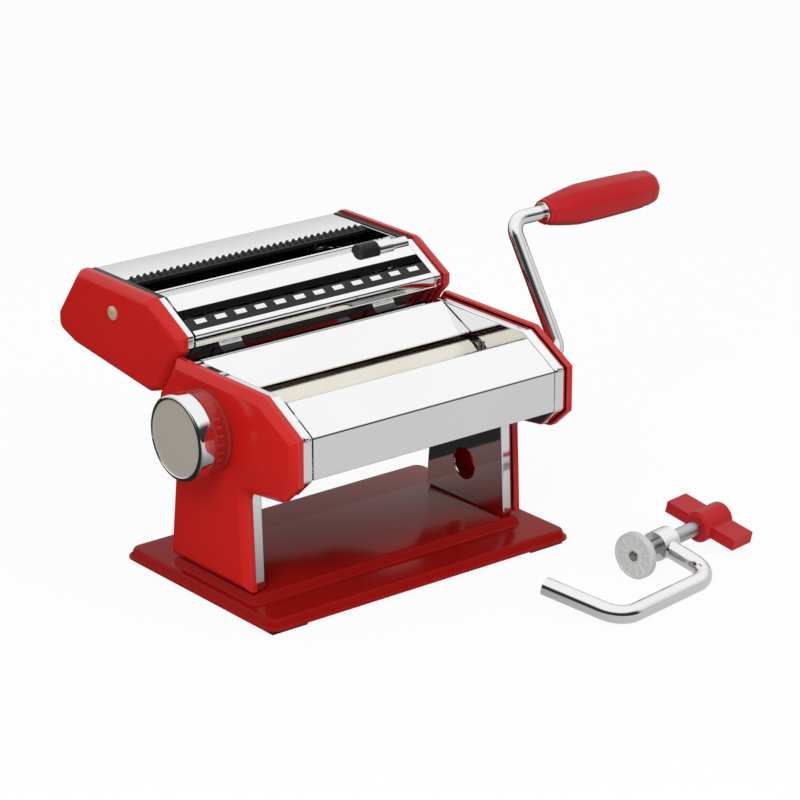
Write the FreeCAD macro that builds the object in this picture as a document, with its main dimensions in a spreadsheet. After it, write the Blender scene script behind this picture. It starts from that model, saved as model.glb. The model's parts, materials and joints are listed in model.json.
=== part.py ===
import FreeCAD, Part
import Sketcher
import math
import os
import re

# Hand cranked pasta roller with a two-width cutter head and a table clamp.
#
# X runs along the rollers, the crank is at +X and the thickness knob at -X.
# Y points to the back, where the cutter head sits, and Z is up from the table.
# The model is drawn about a point on the table, midway between the side frames and under
# the clamp hole. The exported parts have their origin in the middle of the whole footprint.

Vector = FreeCAD.Vector
Rotation = FreeCAD.Rotation
Placement = FreeCAD.Placement

doc = FreeCAD.newDocument("PastaMachine")

# ---------------------------------------------------------------- driving sizes
drivingSizes = {
    # middle of the whole footprint, where the exported parts have their origin
    "originX": 55.0,
    "originY": -12.8,
    # base plate
    "baseLeft": 95.5,
    "baseRight": 104.5,
    "baseFront": 60.0,
    "baseRear": 70.0,
    "baseWall": 1.6,
    "baseCorner": 4.0,
    "lipWidth": 1.5,
    "lipHeight": 1.0,
    "baseHeight": 5.5,
    "skirtInset": 1.2,
    "plateauHeight": 4.5,
    "plateauInset": 3.5,
    "plateauMargin": 4.0,
    # rubber feet
    "footHeight": 3.0,
    "footLength": 22.0,
    "footWidth": 20.0,
    "footInset": 4.0,
    "footPlugInset": 4.0,
    # side frames: heights above the plateau that they stand on
    "insideWidth": 156.8,
    "sheetWall": 1.2,
    "frameFlange": 7.0,
    "bendRadius": 1.0,
    "headHeight": 108.5,
    "headTopFrontY": -47.5,
    "headFrontY": -73.3,
    "chinY": -62.0,
    "legFrontTopY": -30.5,
    "legFrontFootY": -33.0,
    "legRearTopY": 26.0,
    "legRearFootY": 32.0,
    "headRearY": 39.5,
    "seatTopY": 25.0,
    "frameCorner": 3.0,
    "clampHoleY": -0.5,
    "clampHoleHeight": 21.4,
    "clampHoleDiameter": 18.0,
    # frame to base screws
    "frameScrewY": 22.0,
    "frameScrewDiameter": 3.0,
    "frameScrewHead": 4.6,
    "frameScrewHeadHeight": 1.6,
    "frameScrewInset": 3.2,
    # side covers
    "coverDepth": 6.6,
    "coverWall": 2.0,
    "coverLip": 1.8,
    "coverBevel": 6.0,
    "coverFootGap": 2.0,
    "coverCorner": 2.5,
    "bossDiameter": 8.0,
    "bossFrontY": -60.0,
    "bossRearY": 31.0,
    "coverScrewDiameter": 3.0,
    "coverScrewHead": 6.0,
    "coverScrewHeadHeight": 1.8,
    "coverScrewLength": 7.5,
    # sheet panels of the roller head
    "panelWall": 1.0,
    "frontCoverRearY": -51.0,
    "frontCoverLipY": -45.0,
    "frontCoverLipDrop": 10.5,
    "frontCoverReturn": 7.0,
    "hopperGap": 3.15,
    "hopperOverlap": 0.3,
    "hopperTopY": 18.5,
    "rearCoverReturn": 5.0,
    # tie rods
    "tieDiameter": 6.0,
    "tieNutWidth": 10.0,
    "tieNutHeight": 3.6,
    "tieFrontY": -58.0,
    "tieRearY": 28.0,
    "tieTopY": 20.0,
    # sheet rollers, their shafts and gears
    "frontAxisY": -31.0,
    "axisDistance": 26.0,
    "rollerGap": 0.5,
    "gapTravel": 2.4,
    "rollerEndGap": 0.9,
    "shaftDiameter": 12.0,
    "shaftLeftDiameter": 8.0,
    "shaftFit": 0.08,
    "bushDiameter": 16.0,
    "bushFlange": 20.0,
    "bushFlangeWall": 1.2,
    "gearWidth": 5.0,
    "gearStandoff": 4.0,
    "rollerTeeth": 13,
    "rollerAddendum": 2.4,
    "rollerDedendum": 2.9,
    "scraperWall": 0.8,
    "scraperGap": 0.3,
    # carriage of the rear roller and the thickness regulator
    "carriageWall": 2.5,
    "carriageGap": 0.4,
    "carriageWidth": 32.0,
    "carriageTall": 30.0,
    "slideFit": 0.1,
    "yokeWall": 3.8,
    "eccentricDiameter": 14.0,
    "eccentricFit": 0.35,
    "carriageBarY": 20.0,
    "carriageBarTall": 8.0,
    "endPlateGap": 0.5,
    "endPlateWall": 2.0,
    "endPlateTall": 24.0,
    "regulatorDiameter": 10.0,
    "regulatorFlange": 18.0,
    "regulatorFlangeWall": 2.4,
    "collarDiameter": 43.0,
    "collarDepth": 12.0,
    "collarWall": 3.0,
    "collarFloor": 2.0,
    "knobDiameter": 45.0,
    "knobDepth": 8.2,
    "knobWall": 2.2,
    "knobDome": 1.6,
    "knobHub": 16.0,
    "knobHubDepth": 6.0,
    "knobGap": 0.3,
    # crank
    "crankRod": 8.0,
    "crankFit": 0.08,
    "crankSocketDepth": 26.0,
    "crankOffset": 27.5,
    "crankThrow": 78.0,
    "crankLean": 32.7,
    "crankBend": 9.0,
    "keyWidth": 2.0,
    "keyHeight": 0.6,
    "keyLength": 10.0,
    "gripStart": 23.0,
    "gripLength": 80.0,
    "gripNeckDiameter": 16.0,
    "gripDiameter": 23.0,
    "gripHeelDiameter": 21.5,
    "gripTailDiameter": 15.0,
    "gripTaper": 22.0,
    "gripRound": 5.0,
    "gripEndWall": 6.0,
    "gripFit": 0.08,
    "gripWasherDiameter": 12.0,
    "gripWasherWall": 1.5,
    # cutter head
    "cutterFlange": 5.0,
    "cutterTopFrontY": 49.5,
    "cutterNoseY": 24.5,
    "cutterSeatLowY": 43.3,
    "cutterToeY": 53.0,
    "cutterHeelY": 119.0,
    "cutterRearY": 133.5,
    "cutterTopRearY": 114.0,
    "capDepth": 6.6,
    "capLip": 1.5,
    "capBevel": 5.0,
    "capCorner": 4.0,
    "capScrewLeftY": 80.5,
    "capScrewRightY": 68.0,
    "capScrewHead": 9.0,
    "capScrewHeadHeight": 1.6,
    "capScrewDiameter": 3.0,
    "capCrankHole": 12.0,
    "wideMouthFrontY": 27.5,
    "wideMouthRearY": 40.0,
    "fineMouthFrontY": 58.0,
    "fineMouthRearY": 87.4,
    "mouthLip": 4.5,
    "heelReturn": 5.0,
    # cutter rollers
    "wideAxisY": 42.5,
    "fineAxisY": 77.5,
    "cutterSpacing": 16.0,
    "cutterRing": 18.0,
    "cutterCore": 13.0,
    "cutterJournal": 11.0,
    "cutterJournalLeft": 7.0,
    "cutterBush": 14.0,
    "cutterBushLeft": 9.6,
    "cutterBushFlange": 15.4,
    "cutterBushFlangeWall": 0.8,
    "cutterEndGap": 1.6,
    "widePitch": 14.6,
    "finePitch": 4.2,
    "ringClearance": 0.1,
    "cutterTeeth": 10,
    "cutterAddendum": 1.4,
    "cutterDedendum": 2.0,
    "cutterGearStandoff": 2.0,
    "cutterGearWidth": 3.8,
    "combWall": 1.0,
    "combOffset": 3.0,
    "combHeight": 6.8,
    "combRootGap": 0.2,
    "combReach": 0.2,
    "combSlotGap": 0.3,
    "cutterTieDiameter": 6.0,
    "cutterTieHead": 10.0,
    "cutterTieHeadHeight": 2.0,
    "cutterTieRearY": 118.0,
    "cutterTieMiddleY": 68.0,
    # rails between roller head and cutter head
    "railX": 50.0,
    "railStem": 4.0,
    "railStemHeight": 1.2,
    "railHead": 9.0,
    "railHeadHeight": 1.2,
    "railLength": 21.0,
    "railFit": 0.25,
    "hookWidth": 14.0,
    "hookLip": 0.7,
    "hookLength": 18.0,
    "hookStop": 3.0,
    # table clamp, lying in front of the machine
    "clampX": 51.0,
    "clampY": -157.3,
    "clampYaw": 9.0,
    "clampTilt": 12.7,
    "clampRod": 9.5,
    "clampSpan": 75.8,
    "clampTongue": 42.4,
    "clampSplay": 11.0,
    "clampBendRadius": 14.0,
    "clampScrewOffset": 35.4,
    "clampEye": 16.0,
    "clampScrewDiameter": 8.0,
    "clampScrewFit": 0.05,
    "discDiameter": 25.0,
    "discWall": 3.0,
    "discPosition": 52.7,
    "discHub": 13.0,
    "discHubDepth": 5.0,
    "clampEyeDepth": 12.0,
    "screwTip": 5.0,
    "screwTipDepth": 5.0,
    "screwTipFit": 0.05,
    "handlePosition": 105.0,
    "handleHub": 17.0,
    "handleHubDepth": 23.0,
    "handleGrip": 16.0,
    "wingSpan": 46.0,
    "wingWidth": 16.0,
    "wingWall": 6.5,
}

# Steps up or down from the top of the roller head, which everything that the legs carry follows.
headSteps = {
    "headFrontTop": -14.5,
    "headFrontLow": -37.0,
    "chinHeight": -47.5,
    "bellyHeight": -51.5,
    "headRearLow": -42.5,
    "seatLow": -21.5,
    "bossFrontHeight": -24.5,
    "bossRearHeight": -24.5,
    "tieFrontHeight": -36.0,
    "tieRearHeight": -40.0,
    "tieTopHeight": -8.5,
    "rollerHeight": -27.0,
    "cutterTop": 26.0,
    "cutterNoseTop": 12.0,
    "cutterNoseLow": 6.0,
    "cutterSeatTop": 1.1,
    "cutterSeatLow": -19.2,
    "cutterToe": -22.5,
    "cutterHeel": -14.5,
    "cutterRearLow": -9.5,
    "cutterRearTop": -0.5,
    "capScrewLeftHeight": 12.0,
    "capScrewRightHeight": 19.5,
    "cutterHeight": 5.5,
    "cutterTieRearHeight": 3.5,
    "cutterTieMiddleHeight": -9.5,
}
drivingSizes.update({f"{name}Step": step for name, step in headSteps.items()})

# ---------------------------------------------------------------- derived sizes
derivedSizes = {name: f"headHeight + {name}Step" for name in headSteps}
derivedSizes.update({
    "halfInside": "insideWidth / 2",
    "deckLevel": "footHeight + baseHeight",
    "plateauTop": "footHeight + baseHeight + plateauHeight",
    "frameOuter": "insideWidth / 2 + sheetWall",
    "ringX": "insideWidth / 2 + frameFlange",
    "faceX": "insideWidth / 2 + frameFlange + coverDepth",
    "coverInnerX": "insideWidth / 2 + frameFlange + coverDepth - coverWall",
    "seatLean": "atan((headRearY - seatTopY) / (headHeight - seatLow))",
    "cutterSeatTopY": "cutterSeatLowY - (cutterSeatTop - cutterSeatLow) * tan(seatLean)",
    "rearAxisY": "frontAxisY + axisDistance",
    "rollerLength": "insideWidth - 2 * (endPlateGap + endPlateWall + rollerEndGap)",
    "carriageInnerX": "insideWidth / 2 + sheetWall + carriageGap",
    "yokeInnerX": "insideWidth / 2 + sheetWall + carriageGap + carriageWall",
    "yokeOuterX": "insideWidth / 2 + sheetWall + carriageGap + carriageWall + yokeWall",
    "armX": "insideWidth / 2 + frameFlange + coverDepth + crankOffset",
    "rollerRadius": "(axisDistance - rollerGap) / 2",
    "hopperLowY": "rearAxisY + hopperOverlap",
    "hopperLow": "rollerHeight + rollerRadius + hopperGap",
    "cutterCutLength": "insideWidth - 2 * cutterEndGap",
    "wideRings": "floor(cutterCutLength / widePitch)",
    "fineRings": "floor(cutterCutLength / finePitch)",
    "combRoot": "cutterHeight - cutterRing / 2 - combRootGap",
    "combLow": "combRoot - combHeight",
    "combTip": "cutterHeight - cutterCore / 2 + combReach",
    "capRingX": "insideWidth / 2 + cutterFlange",
    "capFaceX": "insideWidth / 2 + cutterFlange + capDepth",
    "capInnerX": "insideWidth / 2 + cutterFlange + capDepth - coverWall",
})

dims = doc.addObject("Spreadsheet::Sheet", "dims")
for row, (name, value) in enumerate(drivingSizes.items(), start=1):
    dims.set(f"A{row}", name)
    dims.set(f"B{row}", str(value))
    dims.setAlias(f"B{row}", name)

sheetNames = {name: f"dims.{name}" for name in drivingSizes}


def bound(text):
    """The same formula with each size name pointing at its sheet."""
    return re.sub(r"[A-Za-z]+", lambda word: sheetNames.get(word.group(), word.group()), text)


plan = doc.addObject("Spreadsheet::Sheet", "plan")
for row, (name, formula) in enumerate(derivedSizes.items(), start=1):
    plan.set(f"A{row}", name)
    plan.set(f"B{row}", f"={bound(formula)}")
    plan.setAlias(f"B{row}", name)
sheetNames.update({name: f"plan.{name}" for name in derivedSizes})

probe = doc.addObject("App::FeaturePython", "probe")
probe.addProperty("App::PropertyFloat", "reading")
doc.recompute()


def size(text):
    """The present value of a formula of sizes."""
    probe.setExpression("reading", bound(text))
    probe.recompute()
    return probe.reading


def bind(thing, prop, text):
    thing.setExpression(prop, bound(text))


# ---------------------------------------------------------------- sketch helpers
nodes = []


def newBody(label, level=None):
    """A PartDesign body that becomes one node; level lifts it to a named height."""
    body = doc.addObject("PartDesign::Body", label)
    body.Label = label
    if level:
        bind(body, "Placement.Base.z", level)
    nodes.append(body)
    return body


def newSketch(body, role="YZ_Plane", at="0"):
    """A sketch parallel to one of the body's own planes, moved along its normal."""
    sketch = body.newObject("Sketcher::SketchObject", f"{body.Name}Sketch")
    plane = [item for item in body.Origin.OriginFeatures if item.Role == role][0]
    sketch.AttachmentSupport = [(plane, "")]
    sketch.MapMode = "FlatFace"
    bind(sketch, "AttachmentOffset.Base.z", at)
    return sketch


def pinPoint(sketch, geometry, position, across, up):
    """Ties a point of the sketch to its two coordinates."""
    for kind, text in (("DistanceX", across), ("DistanceY", up)):
        index = sketch.addConstraint(Sketcher.Constraint(kind, -1, 1, geometry, position, size(text)))
        bind(sketch, f"Constraints[{index}]", text)


def shiftedLines(points, distance, closed):
    """The corner points of an outline moved sideways, to the left of its direction."""
    count = len(points)
    legs = range(count if closed else count - 1)
    lines = []
    for leg in legs:
        start = points[leg]
        along = (points[(leg + 1) % count] - start).normalize()
        aside = Vector(-along.y, along.x, 0) * distance
        lines.append((start + aside, along))
    moved = []
    for corner in range(count):
        if not closed and corner == 0:
            moved.append(lines[0][0])
        elif not closed and corner == count - 1:
            moved.append(points[-1] + (lines[-1][0] - points[-2]))
        else:
            first, alongFirst = lines[corner - 1]
            second, alongSecond = lines[corner % len(lines)]
            turn = alongFirst.x * alongSecond.y - alongFirst.y * alongSecond.x
            gap = second - first
            reach = (gap.x * alongSecond.y - gap.y * alongSecond.x) / turn
            moved.append(first + alongFirst * reach)
    return moved


def addLines(sketch, points, closed, construction=False):
    """Joined line segments through the points; returns the index of each."""
    count = len(points)
    legs = count if closed else count - 1
    indices = []
    for leg in range(legs):
        line = Part.LineSegment(points[leg], points[(leg + 1) % count])
        indices.append(sketch.addGeometry(line, construction))
    joints = [(leg, leg + 1) for leg in range(legs - 1)]
    if closed:
        joints.append((legs - 1, 0))
    for before, after in joints:
        sketch.addConstraint(Sketcher.Constraint("Coincident", indices[before], 2, indices[after], 1))
    return indices


def drawOutline(sketch, corners, outward="0"):
    """A closed outline through counter-clockwise corners, or parallel to them."""
    points = [Vector(size(across), size(up), 0) for across, up in corners]
    distance = size(outward)
    guides = addLines(sketch, points, True, construction=outward != "0")
    for guide, (across, up) in zip(guides, corners):
        pinPoint(sketch, guide, 1, across, up)
    if outward == "0":
        return
    edges = addLines(sketch, shiftedLines(points, -distance, True), True)
    for guide, edge in zip(guides, edges):
        sketch.addConstraint(Sketcher.Constraint("Parallel", guide, edge))
        spacing = Sketcher.Constraint("Distance", edge, 1, guide, abs(distance))
        index = sketch.addConstraint(spacing)
        bind(sketch, f"Constraints[{index}]", f"abs({outward})")


def drawSheet(sketch, corners, wall, toLeft=True):
    """The section of a bent sheet: a line through the corners and its parallel."""
    points = [Vector(size(across), size(up), 0) for across, up in corners]
    distance = size(wall) if toLeft else -size(wall)
    outer = addLines(sketch, points, False)
    pinPoint(sketch, outer[0], 1, *corners[0])
    for line, corner in zip(outer, corners[1:]):
        pinPoint(sketch, line, 2, *corner)
    inner = addLines(sketch, shiftedLines(points, distance, False), False)
    for outerLine, innerLine in zip(outer, inner):
        sketch.addConstraint(Sketcher.Constraint("Parallel", outerLine, innerLine))
        index = sketch.addConstraint(
            Sketcher.Constraint("Distance", innerLine, 1, outerLine, size(wall)))
        bind(sketch, f"Constraints[{index}]", wall)
    for first, second, end in ((outer[0], inner[0], 1), (outer[-1], inner[-1], 2)):
        corner = sketch.getPoint(first, end)
        cap = sketch.addGeometry(Part.LineSegment(corner, sketch.getPoint(second, end)))
        sketch.addConstraint(Sketcher.Constraint("Coincident", cap, 1, first, end))
        sketch.addConstraint(Sketcher.Constraint("Coincident", cap, 2, second, end))
        sketch.addConstraint(Sketcher.Constraint("Perpendicular", cap, first))


def drawBox(sketch, left, right, low, high):
    drawOutline(sketch, [(left, low), (right, low), (right, high), (left, high)])


def drawCircle(sketch, across, up, diameter):
    centre = Vector(size(across), size(up), 0)
    circle = sketch.addGeometry(Part.Circle(centre, Vector(0, 0, 1), size(diameter) / 2))
    pinPoint(sketch, circle, 3, across, up)
    index = sketch.addConstraint(Sketcher.Constraint("Diameter", circle, size(diameter)))
    bind(sketch, f"Constraints[{index}]", diameter)


def drawRoute(sketch, corners, bendRadius):
    """An open path of straight runs joined by tangent arcs."""
    points = [Vector(size(across), size(up), 0) for across, up in corners]
    radius = size(bendRadius)
    guides = addLines(sketch, points, False, construction=True)
    pinPoint(sketch, guides[0], 1, *corners[0])
    for guide, corner in zip(guides, corners[1:]):
        pinPoint(sketch, guide, 2, *corner)
    starts, ends = [points[0]], []
    arcs = []
    for before, corner, after in zip(points, points[1:], points[2:]):
        back = (before - corner).normalize()
        ahead = (after - corner).normalize()
        half = back.getAngle(ahead) / 2
        trim = radius / math.tan(half)
        middle = (back + ahead).normalize()
        centre = corner + middle * (radius / math.sin(half))
        nearest = centre - middle * radius
        arcs.append(Part.Arc(corner + back * trim, nearest, corner + ahead * trim))
        ends.append(corner + back * trim)
        starts.append(corner + ahead * trim)
    ends.append(points[-1])
    runs = [sketch.addGeometry(Part.LineSegment(start, end)) for start, end in zip(starts, ends)]
    for run, guide in zip(runs[1:], guides[1:]):
        sketch.addConstraint(Sketcher.Constraint("PointOnObject", run, 1, guide))
    for run, guide in zip(runs[:-1], guides[:-1]):
        sketch.addConstraint(Sketcher.Constraint("PointOnObject", run, 2, guide))
    sketch.addConstraint(Sketcher.Constraint("Coincident", runs[0], 1, guides[0], 1))
    sketch.addConstraint(Sketcher.Constraint("Coincident", runs[-1], 2, guides[-1], 2))
    for joint, arc in enumerate(arcs):
        bend = sketch.addGeometry(arc)
        before, after = runs[joint], runs[joint + 1]
        corner = sketch.getPoint(before, 2)
        startsHere = sketch.getPoint(bend, 1).distanceToPoint(corner) < radius / 100
        first, second = (1, 2) if startsHere else (2, 1)
        sketch.addConstraint(Sketcher.Constraint("Tangent", before, 2, bend, first))
        sketch.addConstraint(Sketcher.Constraint("Tangent", after, 1, bend, second))
        index = sketch.addConstraint(Sketcher.Constraint("Radius", bend, radius))
        bind(sketch, f"Constraints[{index}]", bendRadius)


# ---------------------------------------------------------------- feature helpers
def extrude(body, sketch, length, backward=False, bothWays=False):
    pad = body.newObject("PartDesign::Pad", f"{body.Name}Pad")
    pad.Profile = sketch
    pad.Reversed = backward
    pad.Midplane = bothWays
    bind(pad, "Length", length)
    return pad


def cut(body, sketch, length=None, backward=False, bothWays=False):
    """Cuts the sketch through the body, or to a depth; stops if nothing is cut."""
    doc.recompute()
    before = body.Shape.Volume
    pocket = body.newObject("PartDesign::Pocket", f"{body.Name}Pocket")
    pocket.Profile = sketch
    pocket.Reversed = backward
    pocket.Midplane = bothWays
    if length:
        bind(pocket, "Length", length)
    else:
        pocket.Type = "ThroughAll"
    doc.recompute()
    if body.Shape.Volume > before - 0.001:
        raise RuntimeError(f"{body.Label}: {pocket.Name} cuts nothing")
    return pocket


def loft(body, first, others, subtract=False):
    kind = "PartDesign::SubtractiveLoft" if subtract else "PartDesign::AdditiveLoft"
    feature = body.newObject(kind, f"{body.Name}Loft")
    feature.Profile = first
    feature.Sections = others
    feature.Ruled = True
    doc.recompute()
    return feature


def sweep(body, section, route):
    pipe = body.newObject("PartDesign::AdditivePipe", f"{body.Name}Pipe")
    pipe.Profile = section
    pipe.Spine = route
    doc.recompute()
    return pipe


def revolve(body, sketch):
    """Turns the sketch about its own horizontal axis."""
    turned = body.newObject("PartDesign::Revolution", f"{body.Name}Revolution")
    turned.Profile = sketch
    turned.ReferenceAxis = (sketch, ["H_Axis"])
    turned.Angle = 360
    return turned


def roundEdges(body, radius, wanted):
    """Fillets the edges of the body so far that the test picks."""
    doc.recompute()
    base = body.Tip
    picked = [f"Edge{number}" for number, edge in enumerate(base.Shape.Edges, start=1) if wanted(edge)]
    fillet = body.newObject("PartDesign::Fillet", f"{body.Name}Fillet")
    fillet.Base = (base, picked)
    bind(fillet, "Radius", radius)
    doc.recompute()
    return fillet


def repeatAround(body, feature, count):
    pattern = body.newObject("PartDesign::PolarPattern", f"{body.Name}Pattern")
    pattern.Originals = [feature]
    axis = [item for item in body.Origin.OriginFeatures if item.Role == "X_Axis"][0]
    pattern.Axis = (axis, [""])
    pattern.Angle = 360
    bind(pattern, "Occurrences", count)
    body.Tip = pattern
    return pattern


def repeatAlong(body, feature, count, spacing):
    pattern = body.newObject("PartDesign::LinearPattern", f"{body.Name}Pattern")
    pattern.Originals = [feature]
    axis = [item for item in body.Origin.OriginFeatures if item.Role == "X_Axis"][0]
    pattern.Direction = (axis, [""])
    bind(pattern, "Occurrences", count)
    bind(pattern, "Length", f"({count} - 1) * {spacing}")
    body.Tip = pattern
    return pattern


def turnedBody(label, stations, axisY, axisZ, turn="0"):
    """A body turned about X from (start, end, diameter) steps; turn leans its own Z."""
    body = newBody(label)
    bind(body, "Placement", f"placement(vector(0; {axisY}; {axisZ}); rotation(0; 0; {turn}))")
    turnSteps(body, stations)
    return body


def turnSteps(body, stations):
    """Adds steps (start, end, diameter) of a turned shape on the body's X axis."""
    corners = [(stations[0][0], "0"), (stations[-1][1], "0")]
    for start, end, diameter in reversed(stations):
        corners.append((end, f"({diameter}) / 2"))
        corners.append((start, f"({diameter}) / 2"))
    sketch = newSketch(body, "XZ_Plane")
    drawOutline(sketch, corners)
    return revolve(body, sketch)


def simpleBox(name, x, y, z, sizeX, sizeY, sizeZ):
    """A box between sizes; x, y and z name its low corner."""
    box = doc.addObject("Part::Box", name)
    for prop, text in (("Length", sizeX), ("Width", sizeY), ("Height", sizeZ)):
        bind(box, prop, text)
    for axis, text in (("x", x), ("y", y), ("z", z)):
        bind(box, f"Placement.Base.{axis}", text)
    return box


def simpleRod(name, x, y, z, diameter, length, along="X"):
    """A cylinder that starts at a point and runs along X or Z."""
    rod = doc.addObject("Part::Cylinder", name)
    bind(rod, "Radius", f"({diameter}) / 2")
    bind(rod, "Height", length)
    if along == "X":
        rod.Placement = Placement(Vector(), Rotation(Vector(0, 1, 0), 90))
    for axis, text in (("x", x), ("y", y), ("z", z)):
        bind(rod, f"Placement.Base.{axis}", text)
    return rod


def hexRod(name, x, y, z, acrossFlats, length):
    """A hexagonal prism that starts at a point and runs along X."""
    prism = doc.addObject("Part::Prism", name)
    prism.Polygon = 6
    bind(prism, "Circumradius", f"({acrossFlats}) / sqrt(3)")
    bind(prism, "Height", length)
    prism.Placement = Placement(Vector(), Rotation(Vector(0, 1, 0), 90))
    for axis, text in (("x", x), ("y", y), ("z", z)):
        bind(prism, f"Placement.Base.{axis}", text)
    return prism


def joined(name, pieces):
    fusion = doc.addObject("Part::MultiFuse", name)
    fusion.Shapes = pieces
    fusion.Refine = True
    return fusion


def without(name, base, tool):
    difference = doc.addObject("Part::Cut", name)
    difference.Base = base
    difference.Tool = tool
    return difference


def group(label, pieces):
    """Separate solids of one kind that share a node."""
    bundle = doc.addObject("Part::Compound", label)
    bundle.Label = label
    bundle.Links = pieces
    nodes.append(bundle)
    return bundle


# ---------------------------------------------------------------- outlines
headOutline = [
    ("legFrontFootY", "0"), ("legRearFootY", "0"), ("legRearTopY", "bellyHeight"),
    ("headRearY", "headRearLow"), ("headRearY", "seatLow"), ("seatTopY", "headHeight"),
    ("headTopFrontY", "headHeight"), ("headFrontY", "headFrontTop"),
    ("headFrontY", "headFrontLow"), ("chinY", "chinHeight"), ("legFrontTopY", "bellyHeight"),
]
coverOutline = [
    ("legFrontFootY", "coverFootGap + coverLip"), ("legRearFootY", "coverFootGap + coverLip"),
] + headOutline[2:]
cutterOutline = [
    ("cutterToeY", "cutterToe"), ("cutterHeelY", "cutterHeel"), ("cutterRearY", "cutterRearLow"),
    ("cutterRearY", "cutterRearTop"), ("cutterTopRearY", "cutterTop"),
    ("cutterTopFrontY", "cutterTop"), ("cutterNoseY", "cutterNoseTop"),
    ("cutterNoseY", "cutterNoseLow"), ("cutterSeatTopY", "cutterSeatTop"),
    ("cutterSeatLowY", "cutterSeatLow"),
]
sides = {"left": -1, "right": 1}


def alongX(edge):
    """An edge that runs along X."""
    first, last = edge.Vertexes[0].Point, edge.Vertexes[-1].Point
    return abs(first.y - last.y) + abs(first.z - last.z) < 0.01 and abs(first.x - last.x) > 0.01


def crossing(x):
    """Picks the edges that lie in a plane across X."""
    return lambda edge: all(abs(corner.Point.x - x) < 0.01 for corner in edge.Vertexes)


def climbing(edge):
    """An edge that rises."""
    first, last = edge.Vertexes[0].Point, edge.Vertexes[-1].Point
    return abs(first.z - last.z) > 0.01


# ---------------------------------------------------------------- base
def buildBasePlate():
    body = newBody("base_plate")

    def rectangle(level, inset):
        sketch = newSketch(body, "XY_Plane", level)
        drawBox(sketch, f"{inset} - baseLeft", f"baseRight - ({inset})",
                f"{inset} - baseFront", f"baseRear - ({inset})")
        return sketch

    def plateau(level, inset):
        sketch = newSketch(body, "XY_Plane", level)
        drawBox(sketch, f"{inset} - ringX - plateauMargin", f"ringX + plateauMargin - ({inset})",
                f"legFrontFootY - plateauMargin + {inset}", f"legRearFootY + plateauMargin - ({inset})")
        return sketch

    skirtTop = "lipWidth + skirtInset"
    loft(body, rectangle("footHeight + lipHeight", "lipWidth"), [rectangle("deckLevel", skirtTop)])
    roundEdges(body, "baseCorner", climbing)
    extrude(body, rectangle("footHeight", "0"), "lipHeight")
    doc.recompute()
    roundEdges(body, "baseCorner", lambda edge: climbing(edge) and edge.Length < size("lipHeight") + 0.01)
    loft(body, plateau("deckLevel - baseWall / 2", "0"), [plateau("plateauTop", "plateauInset")])
    loft(body, rectangle("footHeight", "lipWidth + baseWall"),
         [rectangle("deckLevel - baseWall", f"{skirtTop} + baseWall")], subtract=True)
    loft(body, plateau("deckLevel - baseWall", "baseWall"),
         [plateau("plateauTop - baseWall", "plateauInset + baseWall")], subtract=True)
    screwHoles = newSketch(body, "XY_Plane", "plateauTop")
    for sign in sides.values():
        for screwY in ("-frameScrewY", "frameScrewY"):
            drawCircle(screwHoles, f"{sign} * (ringX - frameScrewInset)", screwY, "frameScrewDiameter")
    cut(body, screwHoles, "baseWall")


def buildRubberFeet():
    feet = []
    inset = "lipWidth + baseWall + footPlugInset"
    for number, (cornerX, cornerY) in enumerate(((-1, -1), (1, -1), (-1, 1), (1, 1)), start=1):
        padX = "footInset - baseLeft" if cornerX < 0 else "baseRight - footInset - footLength"
        padY = "footInset - baseFront" if cornerY < 0 else "baseRear - footInset - footWidth"
        plugX = f"{inset} - baseLeft" if cornerX < 0 else f"{padX} + 0.5"
        plugY = f"{inset} - baseFront" if cornerY < 0 else f"{padY} + 0.5"
        pad = simpleBox(f"footPad{number}", padX, padY, "0", "footLength", "footWidth", "footHeight")
        plug = simpleBox(f"footPlug{number}", plugX, plugY, "footHeight",
                         f"footLength - ({inset}) - 0.5", f"footWidth - ({inset}) - 0.5",
                         "baseHeight - baseWall")
        feet.append(joined(f"foot{number}", [pad, plug]))
    group("rubber_feet", feet)


# ---------------------------------------------------------------- side frames
def buildFrame(side, sign):
    body = newBody(f"{side}_frame", "plateauTop")
    outline = newSketch(body, at=f"{sign} * halfInside")
    drawOutline(outline, headOutline)
    extrude(body, outline, "frameFlange", backward=sign < 0)
    roundEdges(body, "frameCorner", alongX)
    roundEdges(body, "bendRadius", crossing(sign * size("halfInside")))
    recess = newSketch(body, at=f"{sign} * frameOuter")
    drawOutline(recess, headOutline, outward="-sheetWall")
    cut(body, recess, "frameFlange", backward=sign > 0)

    holes = newSketch(body, at=f"{sign} * halfInside")
    drawCircle(holes, "frontAxisY", "rollerHeight", "bushDiameter")
    drawBox(holes, "rearAxisY - bushDiameter / 2 - slideFit",
            "rearAxisY + bushDiameter / 2 + gapTravel + slideFit",
            "rollerHeight - bushDiameter / 2 - slideFit / 2",
            "rollerHeight + bushDiameter / 2 + slideFit / 2")
    for name in ("Front", "Rear", "Top"):
        drawCircle(holes, f"tie{name}Y", f"tie{name}Height", "tieDiameter")
    for name in ("Front", "Rear"):
        drawCircle(holes, f"boss{name}Y", f"boss{name}Height", "coverScrewDiameter")
    if side == "right":
        drawCircle(holes, "clampHoleY", "clampHoleHeight", "clampHoleDiameter")
    cut(body, holes, "sheetWall", backward=sign > 0)

    screwHoles = newSketch(body, "XY_Plane")
    for screwY in ("-frameScrewY", "frameScrewY"):
        drawCircle(screwHoles, f"{sign} * (ringX - frameScrewInset)", screwY, "frameScrewDiameter")
    cut(body, screwHoles, "sheetWall", backward=True)


def shell(body, sign, rim, face, subtract=False):
    """A loft between two sections across X; running towards -X its faces point outwards."""
    first, last = (rim, face) if sign < 0 else (face, rim)
    return loft(body, first, [last], subtract=subtract)


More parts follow.
